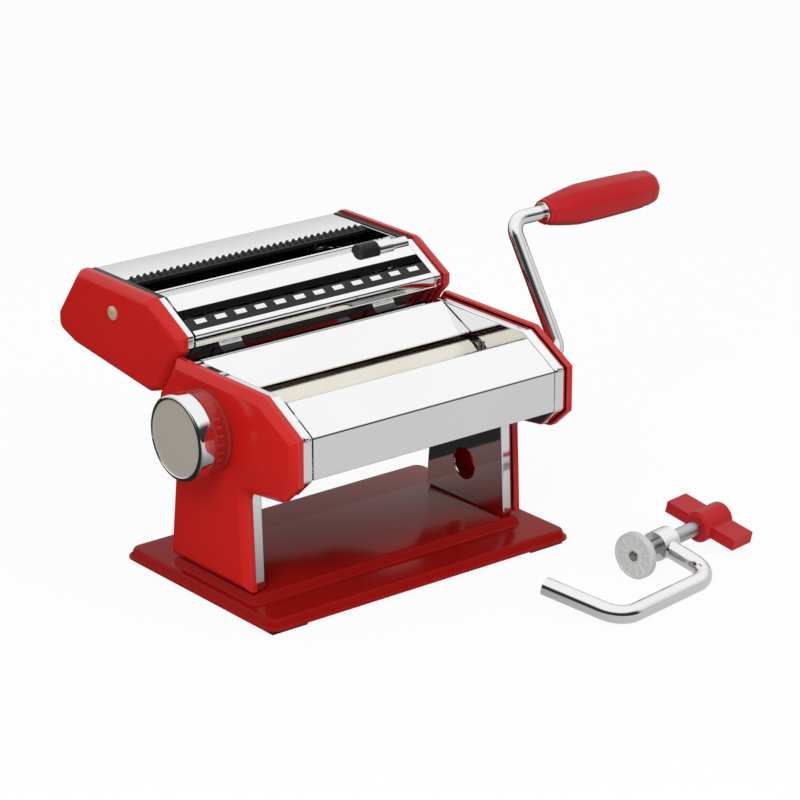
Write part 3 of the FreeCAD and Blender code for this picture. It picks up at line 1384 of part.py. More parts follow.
# ---------------------------------------------------------------- table clamp
# The clamp is drawn flat: X along its back leg and its screw, Y from the leg to the open side.
def buildClamp():
    pose = "placement(vector(clampX; clampY; clampRod / 2); rotation(clampYaw; 0; clampTilt))"
    frame = newBody("clamp_frame")
    bind(frame, "Placement", pose)
    route = newSketch(frame, "XY_Plane")
    drawRoute(route, [
        ("-clampSplay", "clampTongue"), ("0", "0"), ("clampSpan", "0"),
        ("clampSpan", "clampScrewOffset"),
    ], "clampBendRadius")
    section = newSketch(frame, "XZ_Plane", "-clampScrewOffset")
    drawCircle(section, "clampSpan", "0", "clampRod")
    sweep(frame, section, route)
    eye = newSketch(frame, at="clampSpan - clampEyeDepth / 2")
    drawCircle(eye, "clampScrewOffset", "0", "clampEye")
    extrude(frame, eye, "clampEyeDepth")
    thread = newSketch(frame, at="clampSpan - clampEyeDepth / 2")
    drawCircle(thread, "clampScrewOffset", "0", "clampScrewDiameter + 2 * clampScrewFit")
    cut(frame, thread, "clampEyeDepth", backward=True)

    def turned(label, corners):
        body = newBody(label)
        bind(body, "Placement", f"{pose} * placement(vector(0; clampScrewOffset; 0); rotation(0; 0; 0))")
        profile = newSketch(body, "XZ_Plane")
        drawOutline(profile, corners)
        revolve(body, profile)
        return body

    tipX = "discPosition + discWall"
    turned("clamp_screw", [
        (tipX, "0"), ("handlePosition + handleGrip", "0"),
        ("handlePosition + handleGrip", "clampScrewDiameter / 2"),
        (f"{tipX} + screwTipDepth", "clampScrewDiameter / 2"),
        (f"{tipX} + screwTipDepth", "screwTip / 2"), (tipX, "screwTip / 2"),
    ])
    turned("clamp_disc", [
        ("discPosition", "0"), (tipX, "0"), (tipX, "screwTip / 2 + screwTipFit"),
        (f"{tipX} + discHubDepth - 0.3", "screwTip / 2 + screwTipFit"),
        (f"{tipX} + discHubDepth - 0.3", "discHub / 2"), (tipX, "discHub / 2"),
        (tipX, "discDiameter / 2"), ("discPosition", "discDiameter / 2"),
    ])
    handle = turned("clamp_handle", [
        ("handlePosition", "clampScrewDiameter / 2"),
        ("handlePosition + handleGrip", "clampScrewDiameter / 2"),
        ("handlePosition + handleGrip", "0"), ("handlePosition + handleHubDepth", "0"),
        ("handlePosition + handleHubDepth", "handleHub / 2 - 2"),
        ("handlePosition + handleHubDepth - 2", "handleHub / 2"),
        ("handlePosition + 1.5", "handleHub / 2"), ("handlePosition", "handleHub / 2 - 1.5"),
    ])
    wings = newSketch(handle, "XY_Plane")
    middle = "(handlePosition + handleHubDepth / 2)"
    for low, high in (("-wingSpan / 2", "-clampScrewDiameter / 2 - 1.5"),
                      ("clampScrewDiameter / 2 + 1.5", "wingSpan / 2")):
        drawBox(wings, f"{middle} - wingWidth / 2", f"{middle} + wingWidth / 2", low, high)
    extrude(handle, wings, "wingWall", bothWays=True)


# ---------------------------------------------------------------- the whole machine
buildBasePlate()
buildRubberFeet()
for side, sign in sides.items():
    buildFrame(side, sign)
    buildCover(side, sign)
    buildCarriageSide(side, sign)
    buildCutterFrame(side, sign)
    buildCap(side, sign)
buildScrewsAndTies()
buildHeadPanels()
buildSheetRollers()
buildFrontBushes()
buildScrapers()
buildCarriageBracket()
buildRegulator()
buildCrank()
buildCapScrews()
buildCutterPanels()
buildCutterRollers()
buildCutterBushes()
for name, (axisY, pitch, rings) in cutterPairs.items():
    buildCombs(name, axisY, pitch, rings)
buildCutterTies()
buildRailsAndHooks()
buildClamp()
doc.recompute()

for item in doc.Objects:
    if "Invalid" in item.State or "Error" in item.State:
        raise RuntimeError(f"{item.Name} ({item.Label}) failed: {item.State}")
os.makedirs("parts", exist_ok=True)
toFootprint = Vector(-size("originX"), -size("originY"), 0)
for node in nodes:
    shape = node.Shape.copy()
    if shape.isNull() or not shape.isValid():
        raise RuntimeError(f"{node.Label}: shape is null or not valid")
    shape.translate(toFootprint)
    shape.exportStep(f"parts/{node.Label}.step")
    print(f"{node.Label}: {len(shape.Solids)} solid(s), {shape.Volume:.0f} mm3")
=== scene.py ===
import bpy
import json
import math
from mathutils import Matrix, Vector


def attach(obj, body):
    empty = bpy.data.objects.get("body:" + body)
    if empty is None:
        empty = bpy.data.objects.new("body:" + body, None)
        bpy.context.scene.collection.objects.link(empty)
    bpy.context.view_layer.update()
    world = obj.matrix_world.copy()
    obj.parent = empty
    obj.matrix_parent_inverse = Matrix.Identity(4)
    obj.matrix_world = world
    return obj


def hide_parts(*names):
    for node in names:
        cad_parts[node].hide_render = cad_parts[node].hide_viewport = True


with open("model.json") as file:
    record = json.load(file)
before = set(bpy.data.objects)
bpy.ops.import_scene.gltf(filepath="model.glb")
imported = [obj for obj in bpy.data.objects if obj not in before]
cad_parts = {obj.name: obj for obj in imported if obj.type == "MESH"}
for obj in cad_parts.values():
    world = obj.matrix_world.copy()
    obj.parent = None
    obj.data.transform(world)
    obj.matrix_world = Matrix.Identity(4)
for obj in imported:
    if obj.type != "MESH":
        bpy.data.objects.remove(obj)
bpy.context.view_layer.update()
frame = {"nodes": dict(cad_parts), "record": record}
nodes = frame["nodes"]
slotOf = {part["node"]: part["material_slot"] for part in frame["record"]["subparts"]}
print("frame loaded:", len(nodes), "nodes")

# the table under the middle of the side frames; sizes and places are in millimetres from here
middle = Vector((-0.055, 0.0128, 0.0))
nearby = 0.00001  # metres, two places closer than this are the same


def spot(x, y, z):
    return middle + Vector((x, y, z)) / 1000


# adds a shader node, sets its properties, then the values of its sockets
def addNode(tree, kind, values=None, **settings):
    node = tree.nodes.new("ShaderNode" + kind)
    for name, value in settings.items():
        setattr(node, name, value)
    for socket, value in (values or {}).items():
        node.inputs[socket].default_value = value
    return node


def link(tree, source, output, target, socket):
    tree.links.new(source.outputs[output], target.inputs[socket])


def newMaterial(name, color, metallic=0.0, gloss=0.5):
    material = bpy.data.materials.new(name)
    material.use_nodes = True
    shader = material.node_tree.nodes["Principled BSDF"]
    shader.inputs["Base Color"].default_value = (*color, 1.0)
    shader.inputs["Metallic"].default_value = metallic
    shader.inputs["Specular IOR Level"].default_value = gloss
    return material, material.node_tree, shader


# cloudy patches, fine grain and worn edges, shared by every finish
surface = dict(cloudDetail=3.0, grainDetail=2.0, noiseLow=0.6, noiseHigh=1.4,
               edgeRadius=0.0007, edgeSamples=3, edgeStart=0.995, edgeFull=0.90)


def buildSurfaceGroup():
    group = bpy.data.node_groups.new("surfaceGrain", "ShaderNodeTree")
    for label in ("Clouds", "Grain", "Low", "High"):
        group.interface.new_socket(name=label, in_out="INPUT", socket_type="NodeSocketFloat")
    group.interface.new_socket(name="Stretch", in_out="INPUT", socket_type="NodeSocketVector")
    for label in ("Roughness", "Clouds", "Grain", "Edge"):
        group.interface.new_socket(name=label, in_out="OUTPUT", socket_type="NodeSocketFloat")
    start = group.nodes.new("NodeGroupInput")
    end = group.nodes.new("NodeGroupOutput")
    place = addNode(group, "TexCoord")
    stretch = addNode(group, "VectorMath", operation="MULTIPLY")
    link(group, place, "Object", stretch, 0)
    link(group, start, "Stretch", stretch, 1)
    clouds = addNode(group, "TexNoise", {"Detail": surface["cloudDetail"]})
    link(group, place, "Object", clouds, "Vector")
    link(group, start, "Clouds", clouds, "Scale")
    grain = addNode(group, "TexNoise", {"Detail": surface["grainDetail"]})
    link(group, stretch, 0, grain, "Vector")
    link(group, start, "Grain", grain, "Scale")
    both = addNode(group, "Math", operation="ADD")
    link(group, clouds, "Fac", both, 0)
    link(group, grain, "Fac", both, 1)
    rough = addNode(group, "MapRange", {"From Min": surface["noiseLow"],
                                        "From Max": surface["noiseHigh"]})
    link(group, both, 0, rough, "Value")
    link(group, start, "Low", rough, "To Min")
    link(group, start, "High", rough, "To Max")
    # an edge is where the rounded normal leaves the flat one
    rounded = addNode(group, "Bevel", {"Radius": surface["edgeRadius"]},
                      samples=surface["edgeSamples"])
    flat = addNode(group, "NewGeometry")
    between = addNode(group, "VectorMath", operation="DOT_PRODUCT")
    link(group, rounded, "Normal", between, 0)
    link(group, flat, "Normal", between, 1)
    edge = addNode(group, "MapRange", {"From Min": surface["edgeStart"],
                                       "From Max": surface["edgeFull"]})
    link(group, between, "Value", edge, "Value")
    worn = addNode(group, "Math", operation="MULTIPLY")
    link(group, edge, "Result", worn, 0)
    link(group, clouds, "Fac", worn, 1)
    link(group, rough, "Result", end, "Roughness")
    link(group, clouds, "Fac", end, "Clouds")
    link(group, grain, "Fac", end, "Grain")
    link(group, worn, 0, end, "Edge")
    return group


# color and tint mix in cloudy patches, edge shows on worn edges, low and high bound the
# roughness, clouds and grain are scales per metre, stretch draws the grain out
finishes = {
    "red_paint": dict(
        color=(0.56, 0.012, 0.009), tint=(0.50, 0.009, 0.007), edge=(0.66, 0.09, 0.08),
        gloss=0.30, low=0.14, high=0.24, clouds=14, grain=700, bump=0.03),
    # the base's red is a darker copy of the same red paint: painted shade for the shade under the
    # machine's overhanging head
    "base_paint_painted_shade": dict(
        color=(0.30, 0.006, 0.005), tint=(0.24, 0.005, 0.004), edge=(0.60, 0.03, 0.028),
        gloss=0.06, low=0.12, high=0.22, clouds=14, grain=700, bump=0.03),
    "dial_paint": dict(
        color=(0.36, 0.014, 0.010), tint=(0.28, 0.010, 0.008), edge=(0.50, 0.10, 0.08),
        gloss=0.35, low=0.18, high=0.30, clouds=20, grain=900, bump=0.05),
    "red_plastic": dict(
        color=(0.48, 0.014, 0.018), tint=(0.42, 0.010, 0.013), edge=(0.56, 0.06, 0.07),
        gloss=0.16, low=0.24, high=0.36, clouds=30, grain=1600, bump=0.05),
    "chrome_sheet": dict(
        color=(0.88, 0.88, 0.88), tint=(0.83, 0.835, 0.835), edge=(0.94, 0.94, 0.94),
        metallic=1.0, low=0.03, high=0.07, clouds=12, grain=350, bump=0.008,
        stretch=(0.06, 1.0, 1.0)),
    "strip_steel": dict(
        color=(0.72, 0.72, 0.70), tint=(0.58, 0.58, 0.57), edge=(0.92, 0.92, 0.91),
        metallic=1.0, low=0.10, high=0.26, clouds=50, grain=2600, bump=0.12,
        stretch=(0.02, 1.0, 1.0)),
    "chrome_rod": dict(
        color=(0.84, 0.84, 0.84), tint=(0.78, 0.785, 0.785), edge=(0.90, 0.90, 0.90),
        metallic=1.0, low=0.03, high=0.08, clouds=25, grain=600, bump=0.008),
    # the cream tint in the steel rollers' colour is a painted reflection
    "roller_steel": dict(
        color=(0.80, 0.77, 0.68), tint=(0.70, 0.67, 0.58), edge=(0.86, 0.84, 0.78),
        metallic=1.0, low=0.16, high=0.28, clouds=20, grain=900, bump=0.04,
        stretch=(1.0, 0.05, 0.05)),
    "cutter_steel": dict(
        color=(0.80, 0.80, 0.79), tint=(0.66, 0.66, 0.65), edge=(0.90, 0.90, 0.90),
        metallic=1.0, low=0.05, high=0.14, clouds=40, grain=1200, bump=0.03),
    "guard_steel": dict(
        color=(0.36, 0.36, 0.33), tint=(0.26, 0.26, 0.24), edge=(0.70, 0.70, 0.68),
        metallic=1.0, low=0.12, high=0.26, clouds=60, grain=900, bump=0.06),
    "steel": dict(
        color=(0.50, 0.51, 0.50), tint=(0.40, 0.41, 0.41), edge=(0.70, 0.70, 0.70),
        metallic=1.0, low=0.24, high=0.42, clouds=30, grain=1200, bump=0.06),
    "spring_sheet": dict(
        color=(0.50, 0.51, 0.52), tint=(0.40, 0.41, 0.42), edge=(0.75, 0.75, 0.75),
        metallic=1.0, low=0.14, high=0.26, clouds=20, grain=700, bump=0.03,
        stretch=(0.08, 1.0, 1.0)),
    "zinc": dict(
        color=(0.56, 0.58, 0.57), tint=(0.42, 0.45, 0.45), edge=(0.80, 0.80, 0.80),
        metallic=1.0, low=0.28, high=0.48, clouds=40, grain=1500, bump=0.08),
    "brass": dict(
        color=(0.66, 0.47, 0.20), tint=(0.52, 0.36, 0.14), edge=(0.82, 0.66, 0.40),
        metallic=1.0, low=0.22, high=0.36, clouds=40, grain=1400, bump=0.04),
    "cream_metal": dict(
        color=(0.62, 0.52, 0.38), tint=(0.50, 0.41, 0.29), edge=(0.80, 0.72, 0.58),
        metallic=0.3, low=0.26, high=0.40, clouds=60, grain=1400, bump=0.06),
    "black_rubber": dict(
        color=(0.018, 0.018, 0.019), tint=(0.035, 0.034, 0.033), edge=(0.07, 0.07, 0.07),
        low=0.60, high=0.82, clouds=40, grain=2200, bump=0.25),
    # black: the colour of some small parts, and also painted shade on hidden faces and dark gaps
    # in the cutter head
    "black_trim_and_painted_shade": dict(
        color=(0.008, 0.008, 0.008), tint=(0.014, 0.014, 0.013), edge=(0.10, 0.10, 0.10),
        gloss=0.20, low=0.26, high=0.44, clouds=40, grain=1800, bump=0.08),
    "satin_metal": dict(
        color=(0.52, 0.48, 0.42), tint=(0.45, 0.42, 0.37), edge=(0.60, 0.58, 0.54),
        metallic=0.25, low=0.34, high=0.46, clouds=18, grain=1800, bump=0.05),
    "grey_plastic": dict(
        color=(0.62, 0.62, 0.61), tint=(0.52, 0.52, 0.51), edge=(0.80, 0.80, 0.80),
        low=0.26, high=0.44, clouds=60, grain=1500, bump=0.10),
}
bumpDistance = 0.0004  # metres


def buildFinish(name, color, tint, edge, low, high, clouds, grain, bump, metallic=0.0,
                gloss=0.5, stretch=(1.0, 1.0, 1.0)):
    material, tree, shader = newMaterial(name, color, metallic, gloss)
    skin = addNode(tree, "Group", node_tree=surfaceGrain)
    for socket, value in (("Clouds", clouds), ("Grain", grain), ("Stretch", stretch),
                          ("Low", low), ("High", high)):
        skin.inputs[socket].default_value = value
    patches = addNode(tree, "Mix", {"A": (*color, 1.0), "B": (*tint, 1.0)}, data_type="RGBA")
    link(tree, skin, "Clouds", patches, "Factor")
    wear = addNode(tree, "Mix", {"B": (*edge, 1.0)}, data_type="RGBA")
    link(tree, patches, "Result", wear, "A")
    link(tree, skin, "Edge", wear, "Factor")
    link(tree, wear, "Result", shader, "Base Color")
    link(tree, skin, "Roughness", shader, "Roughness")
    relief = addNode(tree, "Bump", {"Strength": bump, "Distance": bumpDistance})
    link(tree, skin, "Grain", relief, "Height")
    link(tree, relief, "Normal", shader, "Normal")
    return material


surfaceGrain = buildSurfaceGroup()
materials = {name: buildFinish(name, **look) for name, look in finishes.items()}
for name, node in nodes.items():
    finish = "cutter_steel" if name.endswith("_cutter") else slotOf[name]
    node.data.materials.clear()
    node.data.materials.append(materials[finish])
print("finishes on all nodes")


def selectOnly(piece):
    bpy.ops.object.select_all(action="DESELECT")
    piece.select_set(True)
    bpy.context.view_layer.objects.active = piece


def startEdit(piece):
    selectOnly(piece)
    bpy.ops.object.mode_set(mode="EDIT")
    bpy.ops.mesh.select_all(action="DESELECT")


def endEdit():
    bpy.ops.object.mode_set(mode="OBJECT")


def applyPlace():
    bpy.ops.object.transform_apply(location=True, rotation=True, scale=True)


# selects the faces whose middle and normal pass the test
def selectFaces(piece, test):
    bpy.ops.mesh.select_mode(type="FACE")
    bpy.ops.mesh.select_all(action="DESELECT")
    bpy.ops.object.mode_set(mode="OBJECT")
    for face in piece.data.polygons:
        face.select = test(face.center, face.normal)
    bpy.ops.object.mode_set(mode="EDIT")


# selects the edges sharper than the angle whose two ends pass the test
def selectEdges(piece, angle, test):
    bpy.ops.mesh.select_mode(type="EDGE")
    bpy.ops.mesh.select_all(action="DESELECT")
    bpy.ops.mesh.edges_select_sharp(sharpness=math.radians(angle))
    bpy.ops.object.mode_set(mode="OBJECT")
    for face in piece.data.polygons:
        face.select = False
    corners = piece.data.vertices
    for edge in piece.data.edges:
        if edge.select:
            edge.select = test(*(corners[index].co for index in edge.vertices))
    bpy.ops.object.mode_set(mode="EDIT")


def smooth(piece, angle=32):
    selectOnly(piece)
    bpy.ops.object.shade_smooth_by_angle(angle=math.radians(angle))


# gives a new piece its finish and its body, and hides the node that it shows
def dress(piece, body, finish, node=None):
    piece.data.materials.clear()
    piece.data.materials.append(materials[finish])
    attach(piece, body)
    if node:
        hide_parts(node)


# gives the faces that pass the test a second finish
def repaint(piece, finish, test):
    piece.data.materials.append(materials[finish])
    last = len(piece.data.materials) - 1
    for face in piece.data.polygons:
        if test(face.center, face.normal):
            face.material_index = last


# a copy with its own mesh, placed by the matrix
def copyPiece(piece, place):
    selectOnly(piece)
    bpy.ops.object.duplicate()
    twin = bpy.context.object
    twin.matrix_world = place
    applyPlace()
    return twin


def sideways(distance):
    return Matrix.Translation((distance / 1000, 0, 0))


# a turn in degrees about an axis through the centre
def turned(centre, axis, angle):
    return (Matrix.Translation(centre) @ Matrix.Rotation(math.radians(angle), 4, Vector(axis))
            @ Matrix.Translation(-centre))


def joinPieces(first, *others):
    bpy.ops.object.select_all(action="DESELECT")
    for piece in (first, *others):
        piece.select_set(True)
    bpy.context.view_layer.objects.active = first
    bpy.ops.object.join()
    return first


# cuts the tool out of the piece
def cutOut(piece, tool):
    modifier = piece.modifiers.new("cut", "BOOLEAN")
    modifier.operation = "DIFFERENCE"
    modifier.object = tool
    selectOnly(piece)
    bpy.ops.object.modifier_apply(modifier="cut")
    bpy.data.objects.remove(tool)


# the points of an outline, with an arc of so many steps where a corner has a third number,
# its rounding
def roundedCorners(corners, steps):
    points = []
    for index, corner in enumerate(corners):
        here = Vector(corner[:2])
        if len(corner) < 3:
            points.append(tuple(here))
            continue
        back = (Vector(corners[index - 1][:2]) - here).normalized()
        ahead = (Vector(corners[(index + 1) % len(corners)][:2]) - here).normalized()
        half = back.angle(ahead) / 2
        centre = here + (back + ahead).normalized() * corner[2] / math.sin(half)
        start = here + back * corner[2] / math.tan(half) - centre
        end = here + ahead * corner[2] / math.tan(half) - centre
        turn = start.angle_signed(end)
        for step in range(steps + 1):
            angle = -turn * step / steps
            points.append((centre.x + start.x * math.cos(angle) - start.y * math.sin(angle),
                           centre.y + start.x * math.sin(angle) + start.y * math.cos(angle)))
    return points


# draws a closed outline point by point at x, as (y, z), and fills it
def drawOutline(label, x, points):
    bpy.ops.object.select_all(action="DESELECT")
    bpy.ops.mesh.primitive_plane_add(size=0.001, location=spot(x, *points[0]))
    piece = bpy.context.object
    piece.name = label
    applyPlace()
    bpy.ops.object.mode_set(mode="EDIT")
    bpy.ops.mesh.select_mode(type="VERT")
    bpy.ops.mesh.select_all(action="SELECT")
    bpy.ops.mesh.merge(type="CENTER")
    for here, there in zip(points, points[1:] + points[:1]):
        move = spot(x, *there) - spot(x, *here)
        bpy.ops.mesh.extrude_vertices_move(TRANSFORM_OT_translate={"value": tuple(move)})
    bpy.ops.mesh.select_all(action="SELECT")
    bpy.ops.mesh.remove_doubles(threshold=nearby)
    bpy.ops.mesh.edge_face_add()
    return piece


# a bar of that outline between two x places, left open for more work in edit mode
def drawBar(label, ends, corners, steps=4):
    low, high = sorted(ends)
    piece = drawOutline(label, low, roundedCorners(corners, steps))
    bpy.ops.mesh.extrude_region_move(
        TRANSFORM_OT_translate={"value": ((high - low) / 1000, 0, 0)})
    bpy.ops.mesh.select_all(action="SELECT")
    bpy.ops.mesh.normals_make_consistent(inside=False)
    return piece


# a round bar from a start along a direction
def roundBar(label, start, direction, length, diameter, sides=48):
    along = Vector(direction).normalized()
    bpy.ops.object.select_all(action="DESELECT")
    bpy.ops.mesh.primitive_cylinder_add(
        vertices=sides, radius=diameter / 2000, depth=length / 1000,
        location=start + along * length / 2000, rotation=along.to_track_quat("Z", "Y").to_euler())
    piece = bpy.context.object
    piece.name = label
    applyPlace()
    return piece


# carries the end of a round bar on by steps of (advance, diameter)
def growEnd(piece, direction, centre, diameter, steps):
    along = Vector(direction).normalized()
    reach = max((corner.co - centre).dot(along) for corner in piece.data.vertices)
    startEdit(piece)
    selectFaces(piece, lambda place, normal: normal.dot(along) > 0.99
                and (place - centre).dot(along) > reach - nearby)
    for advance, wanted in steps:
        reach += advance / 1000
        bpy.ops.mesh.extrude_region_move(
            TRANSFORM_OT_translate={"value": tuple(along * advance / 1000)})
        bpy.ops.transform.resize(value=(wanted / diameter,) * 3,
                                 center_override=centre + along * reach)
        diameter = wanted
    endEdit()


# rolls the selected face inwards and up by steps of (inset, rise)
def rollFace(steps):
    for inset, rise in steps:
        bpy.ops.mesh.inset(thickness=inset / 1000, depth=rise / 1000)



# side covers of the roller head; each corner is (y, z, rounding), each hole (y, z, diameter)
cover = dict(
    rim=85.4, flat=2.9, wall=1.2, arcSteps=5, softAngle=30,
    roll=[(0.15, 0.2), (3.5, 2.9), (0.5, 0.35), (0.5, 0.15)],
    corners=[
        (25.9, 123.3), (-48.0, 123.3), (-75.1, 108.1), (-75.1, 83.7), (-62.6, 72.2, 5.5),
        (-32.3, 68.5, 5.5), (-34.9, 15.0), (34.1, 15.0), (27.7, 69.1, 5.5), (41.3, 78.0, 5.2),
        (41.3, 100.5)],
    holes=[(-31.0, 94.5, 12.0), (-0.5, 34.4, 18.0)], holeStart=80.0, holeDepth=20.0)

# end caps of the cutter head
endCap = dict(
    rim=83.4, flat=2.2, wall=1.2, arcSteps=5, softAngle=30,
    roll=[(0.15, 0.6), (0.5, 0.8), (1.6, 1.9), (0.6, 0.5), (0.8, 0.4), (0.9, 0.2)],
    corners=[
        (49.6, 149.0, 5.0), (23.0, 134.3), (23.0, 126.8), (28.3, 121.7), (42.2, 101.0, 6.0),
        (53.2, 97.4, 5.5), (119.2, 105.4, 8.0), (135.0, 110.9, 7.0), (135.0, 121.5, 7.0),
        (114.7, 149.0, 8.0)],
    holes=[(42.5, 127.0, 12.0), (77.5, 127.0, 12.0)], holeStart=80.0, holeDepth=20.0)


# a pressed shell: a flat rim, a bevel rolled over to the face, an open back and an even wall;
# the crank and the clamp go through the right one
def pressShell(label, side, look):
    sign = -1 if side == "left" else 1
    shell = drawBar(label, (sign * look["rim"], sign * (look["rim"] + look["flat"])),
                    look["corners"], look["arcSteps"])
    backX = spot(sign * look["rim"], 0, 0).x
    edgeX = spot(sign * (look["rim"] + look["flat"]), 0, 0).x
    selectFaces(shell, lambda place, normal: normal.x * sign > 0.9
                and abs(place.x - edgeX) < nearby)
    rollFace(look["roll"])
    selectFaces(shell, lambda place, normal: normal.x * sign < -0.9
                and abs(place.x - backX) < nearby)
    bpy.ops.mesh.delete(type="FACE")
    endEdit()
    wall = shell.modifiers.new("wall", "SOLIDIFY")
    wall.thickness = look["wall"] / 1000
    wall.offset = -1
    bpy.ops.object.modifier_apply(modifier="wall")
    if side == "right":
        for y, z, width in look["holes"]:
            start = spot(look["holeStart"], y, z)
            cutOut(shell, roundBar("hole", start, (1, 0, 0), look["holeDepth"], width))
    smooth(shell, look["softAngle"])
    return shell


def buildCovers():
    for side in ("left", "right"):
        shell = pressShell(f"{side}CoverShell", side, cover)
        dress(shell, "machine", "red_paint", f"{side}_cover")
    print("covers pressed")


def buildCaps():
    for side in ("left", "right"):
        shell = pressShell(f"{side}CapShell", side, endCap)
        dress(shell, "cutter_head", "red_paint", f"cutter_{side}_cap")
    print("caps pressed")


# slotted screws in the end caps, as (side, y, z); the slot is (depth, length, width)
capScrew = dict(places=[(-1, 80.5, 133.5), (1, 68.0, 141.0)], face=90.0, sunk=2.0, length=2.9,
                diameter=7.4, sides=40, dome=[(0.5, 6.4), (0.2, 5.0)], slot=(1.4, 7.5, 1.1),
                slotRise=1.6, slotTurn=50, softAngle=35)


def buildCapScrews():
    screws = []
    for sign, y, z in capScrew["places"]:
        face = spot(sign * capScrew["face"], y, z)
        screw = roundBar("capScrew", spot(sign * (capScrew["face"] - capScrew["sunk"]), y, z),
                         (sign, 0, 0), capScrew["length"], capScrew["diameter"],
                         capScrew["sides"])
        growEnd(screw, (sign, 0, 0), face, capScrew["diameter"], capScrew["dome"])
        bpy.ops.object.select_all(action="DESELECT")
        bpy.ops.mesh.primitive_cube_add(
            size=0.001, location=spot(sign * (capScrew["face"] + capScrew["slotRise"]), y, z))
        saw = bpy.context.object
        saw.scale = capScrew["slot"]
        saw.rotation_euler = (math.radians(capScrew["slotTurn"]), 0, 0)
        applyPlace()
        cutOut(screw, saw)
        screws.append(screw)
    screws = joinPieces(*screws)
    smooth(screws, capScrew["softAngle"])
    dress(screws, "cutter_head", "cream_metal", "cap_screws")
    print("cap screws slotted")


# pressed base pan: a rolled edge, a flat deck and a low step that carries the legs
basePan = dict(left=-95.5, right=104.5, front=-60.0, rear=70.0, low=3.0, high=4.0, corner=8.0,
               roll=[(0.8, 0.0), (0.4, 0.3), (1.1, 2.9), (0.4, 0.7), (0.5, 0.4), (0.7, 0.2)],
               underside=[(1.5, 0.0), (0.3, -0.8)])
baseStep = dict(left=-89.4, right=89.4, front=-37.6, rear=36.6, low=7.4, high=8.4, corner=4.0,
                roll=[(0.4, 0.2), (0.4, 0.5), (1.4, 2.9), (0.4, 0.5), (0.4, 0.35), (0.4, 0.15)])


# a flat block with rounded upright corners and a rolled top, left open in edit mode
def rolledBlock(label, look):
    low = spot(look["left"], look["front"], look["low"])
    high = spot(look["right"], look["rear"], look["high"])
    bpy.ops.object.select_all(action="DESELECT")
    bpy.ops.mesh.primitive_cube_add(size=1, location=(low + high) / 2)
    block = bpy.context.object
    block.name = label
    block.scale = high - low
    applyPlace()
    startEdit(block)
    selectEdges(block, 20, lambda first, last: abs(first.z - last.z) > nearby)
    bpy.ops.mesh.bevel(offset=look["corner"] / 1000, segments=8, affect="EDGES")
    selectFaces(block, lambda place, normal: normal.z > 0.9)
    rollFace(look["roll"])
    return block


def buildBase():
    pan = rolledBlock("basePan", basePan)
    selectFaces(pan, lambda place, normal: normal.z < -0.9)
    rollFace(basePan["underside"])
    endEdit()
    step = rolledBlock("baseStep", baseStep)
    endEdit()
    pan = joinPieces(pan, step)
    smooth(pan)
    # the base takes the darker copy of the red paint, which is painted shade
    dress(pan, "machine", "base_paint_painted_shade", "base_plate")
    print("base pressed")


# bright sheets between the side frames, as (body, node, outline)
sheetReach = 77.8
sheets = {
    "frontSheet": ("machine", "front_cover", [
        (-73.0, 84.5, 0.5), (-66.3, 84.5), (-66.3, 85.5), (-72.0, 85.5), (-72.0, 106.1),
        (-51.3, 117.9), (-45.8, 110.4), (-45.0, 111.0), (-51.0, 119.2, 1.6),
        (-73.0, 106.7, 2.2)]),
    "hopperSheet": ("machine", "hopper_plate", [
        (18.7, 120.5), (23.5, 120.5), (23.5, 121.5), (18.5, 121.5, 1.5), (-4.7, 110.4),
        (-4.3, 109.5)]),
    "rearSheet": ("machine", "rear_cover", [
        (24.8, 119.0), (38.5, 99.7), (38.5, 79.5), (33.9, 76.0), (34.5, 75.2), (39.5, 79.0, 1.5),
        (39.5, 100.0, 1.5), (25.3, 120.0, 1.0), (24.0, 120.0), (24.0, 119.0)]),
    "cutterRearSheet": ("cutter_head", "cutter_rear_plate", [
        (132.5, 120.7), (132.5, 112.7), (118.9, 108.0), (114.2, 109.2), (114.0, 108.2),
        (119.0, 107.0, 1.5), (133.5, 112.0, 3.0), (133.5, 121.0, 3.0), (114.0, 147.5, 2.5),
        (87.4, 147.5, 1.0), (87.4, 143.0), (88.4, 143.0), (88.4, 146.5), (113.5, 146.5)]),
    "cutterCentreSheet": ("cutter_head", "cutter_centre_plate", [
        (40.0, 142.2, 0.5), (41.2, 137.7), (42.2, 137.9), (41.2, 141.7), (49.8, 146.5),
        (57.0, 146.5), (57.0, 143.0), (58.0, 143.0), (58.0, 147.5, 0.8), (49.5, 147.5, 1.5)]),
    "cutterNoseSheet": ("cutter_head", "cutter_front_plate", [
        (26.9, 133.7), (27.5, 131.6), (28.5, 131.9), (27.5, 135.2, 0.5), (24.5, 133.5, 1.8),
        (24.5, 127.5, 1.8), (29.6, 122.6, 1.2), (43.3, 102.3, 2.0), (48.3, 100.6), (48.6, 101.5),
        (43.9, 103.1), (30.4, 123.2), (25.5, 127.9), (25.5, 132.9)]),
}


# the hidden faces of the cutter head's chrome sheets take the black finish: painted shade for the
# dark insides of the mouths
def getsPaintedShade(label, place, normal):
    if label == "cutterRearSheet":
        behindMouth = place.y > spot(0, 100, 0).y
        return normal.z < -0.6 or (normal.y < -0.5 and behindMouth)
    if label == "cutterCentreSheet":
        return normal.z < -0.3 or abs(normal.y) > 0.95
    return normal.y > 0.3 and normal.z < 0.3


def buildSheets():
    for label, (body, node, corners) in sheets.items():
        sheet = drawBar(label, (-sheetReach, sheetReach), corners)
        endEdit()
        smooth(sheet)
        dress(sheet, body, "chrome_sheet", node)
        # the cutter sheets' hidden faces get painted shade
        if label.startswith("cutter"):
            repaint(sheet, "black_trim_and_painted_shade", lambda place, normal: getsPaintedShade(label, place, normal))
    print("sheets bent")


# black strips along the tops of the cutter head's side frames: painted shade for the dark gap
# beside the frames' top flanges
topStrip = dict(inner=78.6, width=4.4, front=50.5, rear=113.0, low=147.1, high=148.0, corner=0.4)


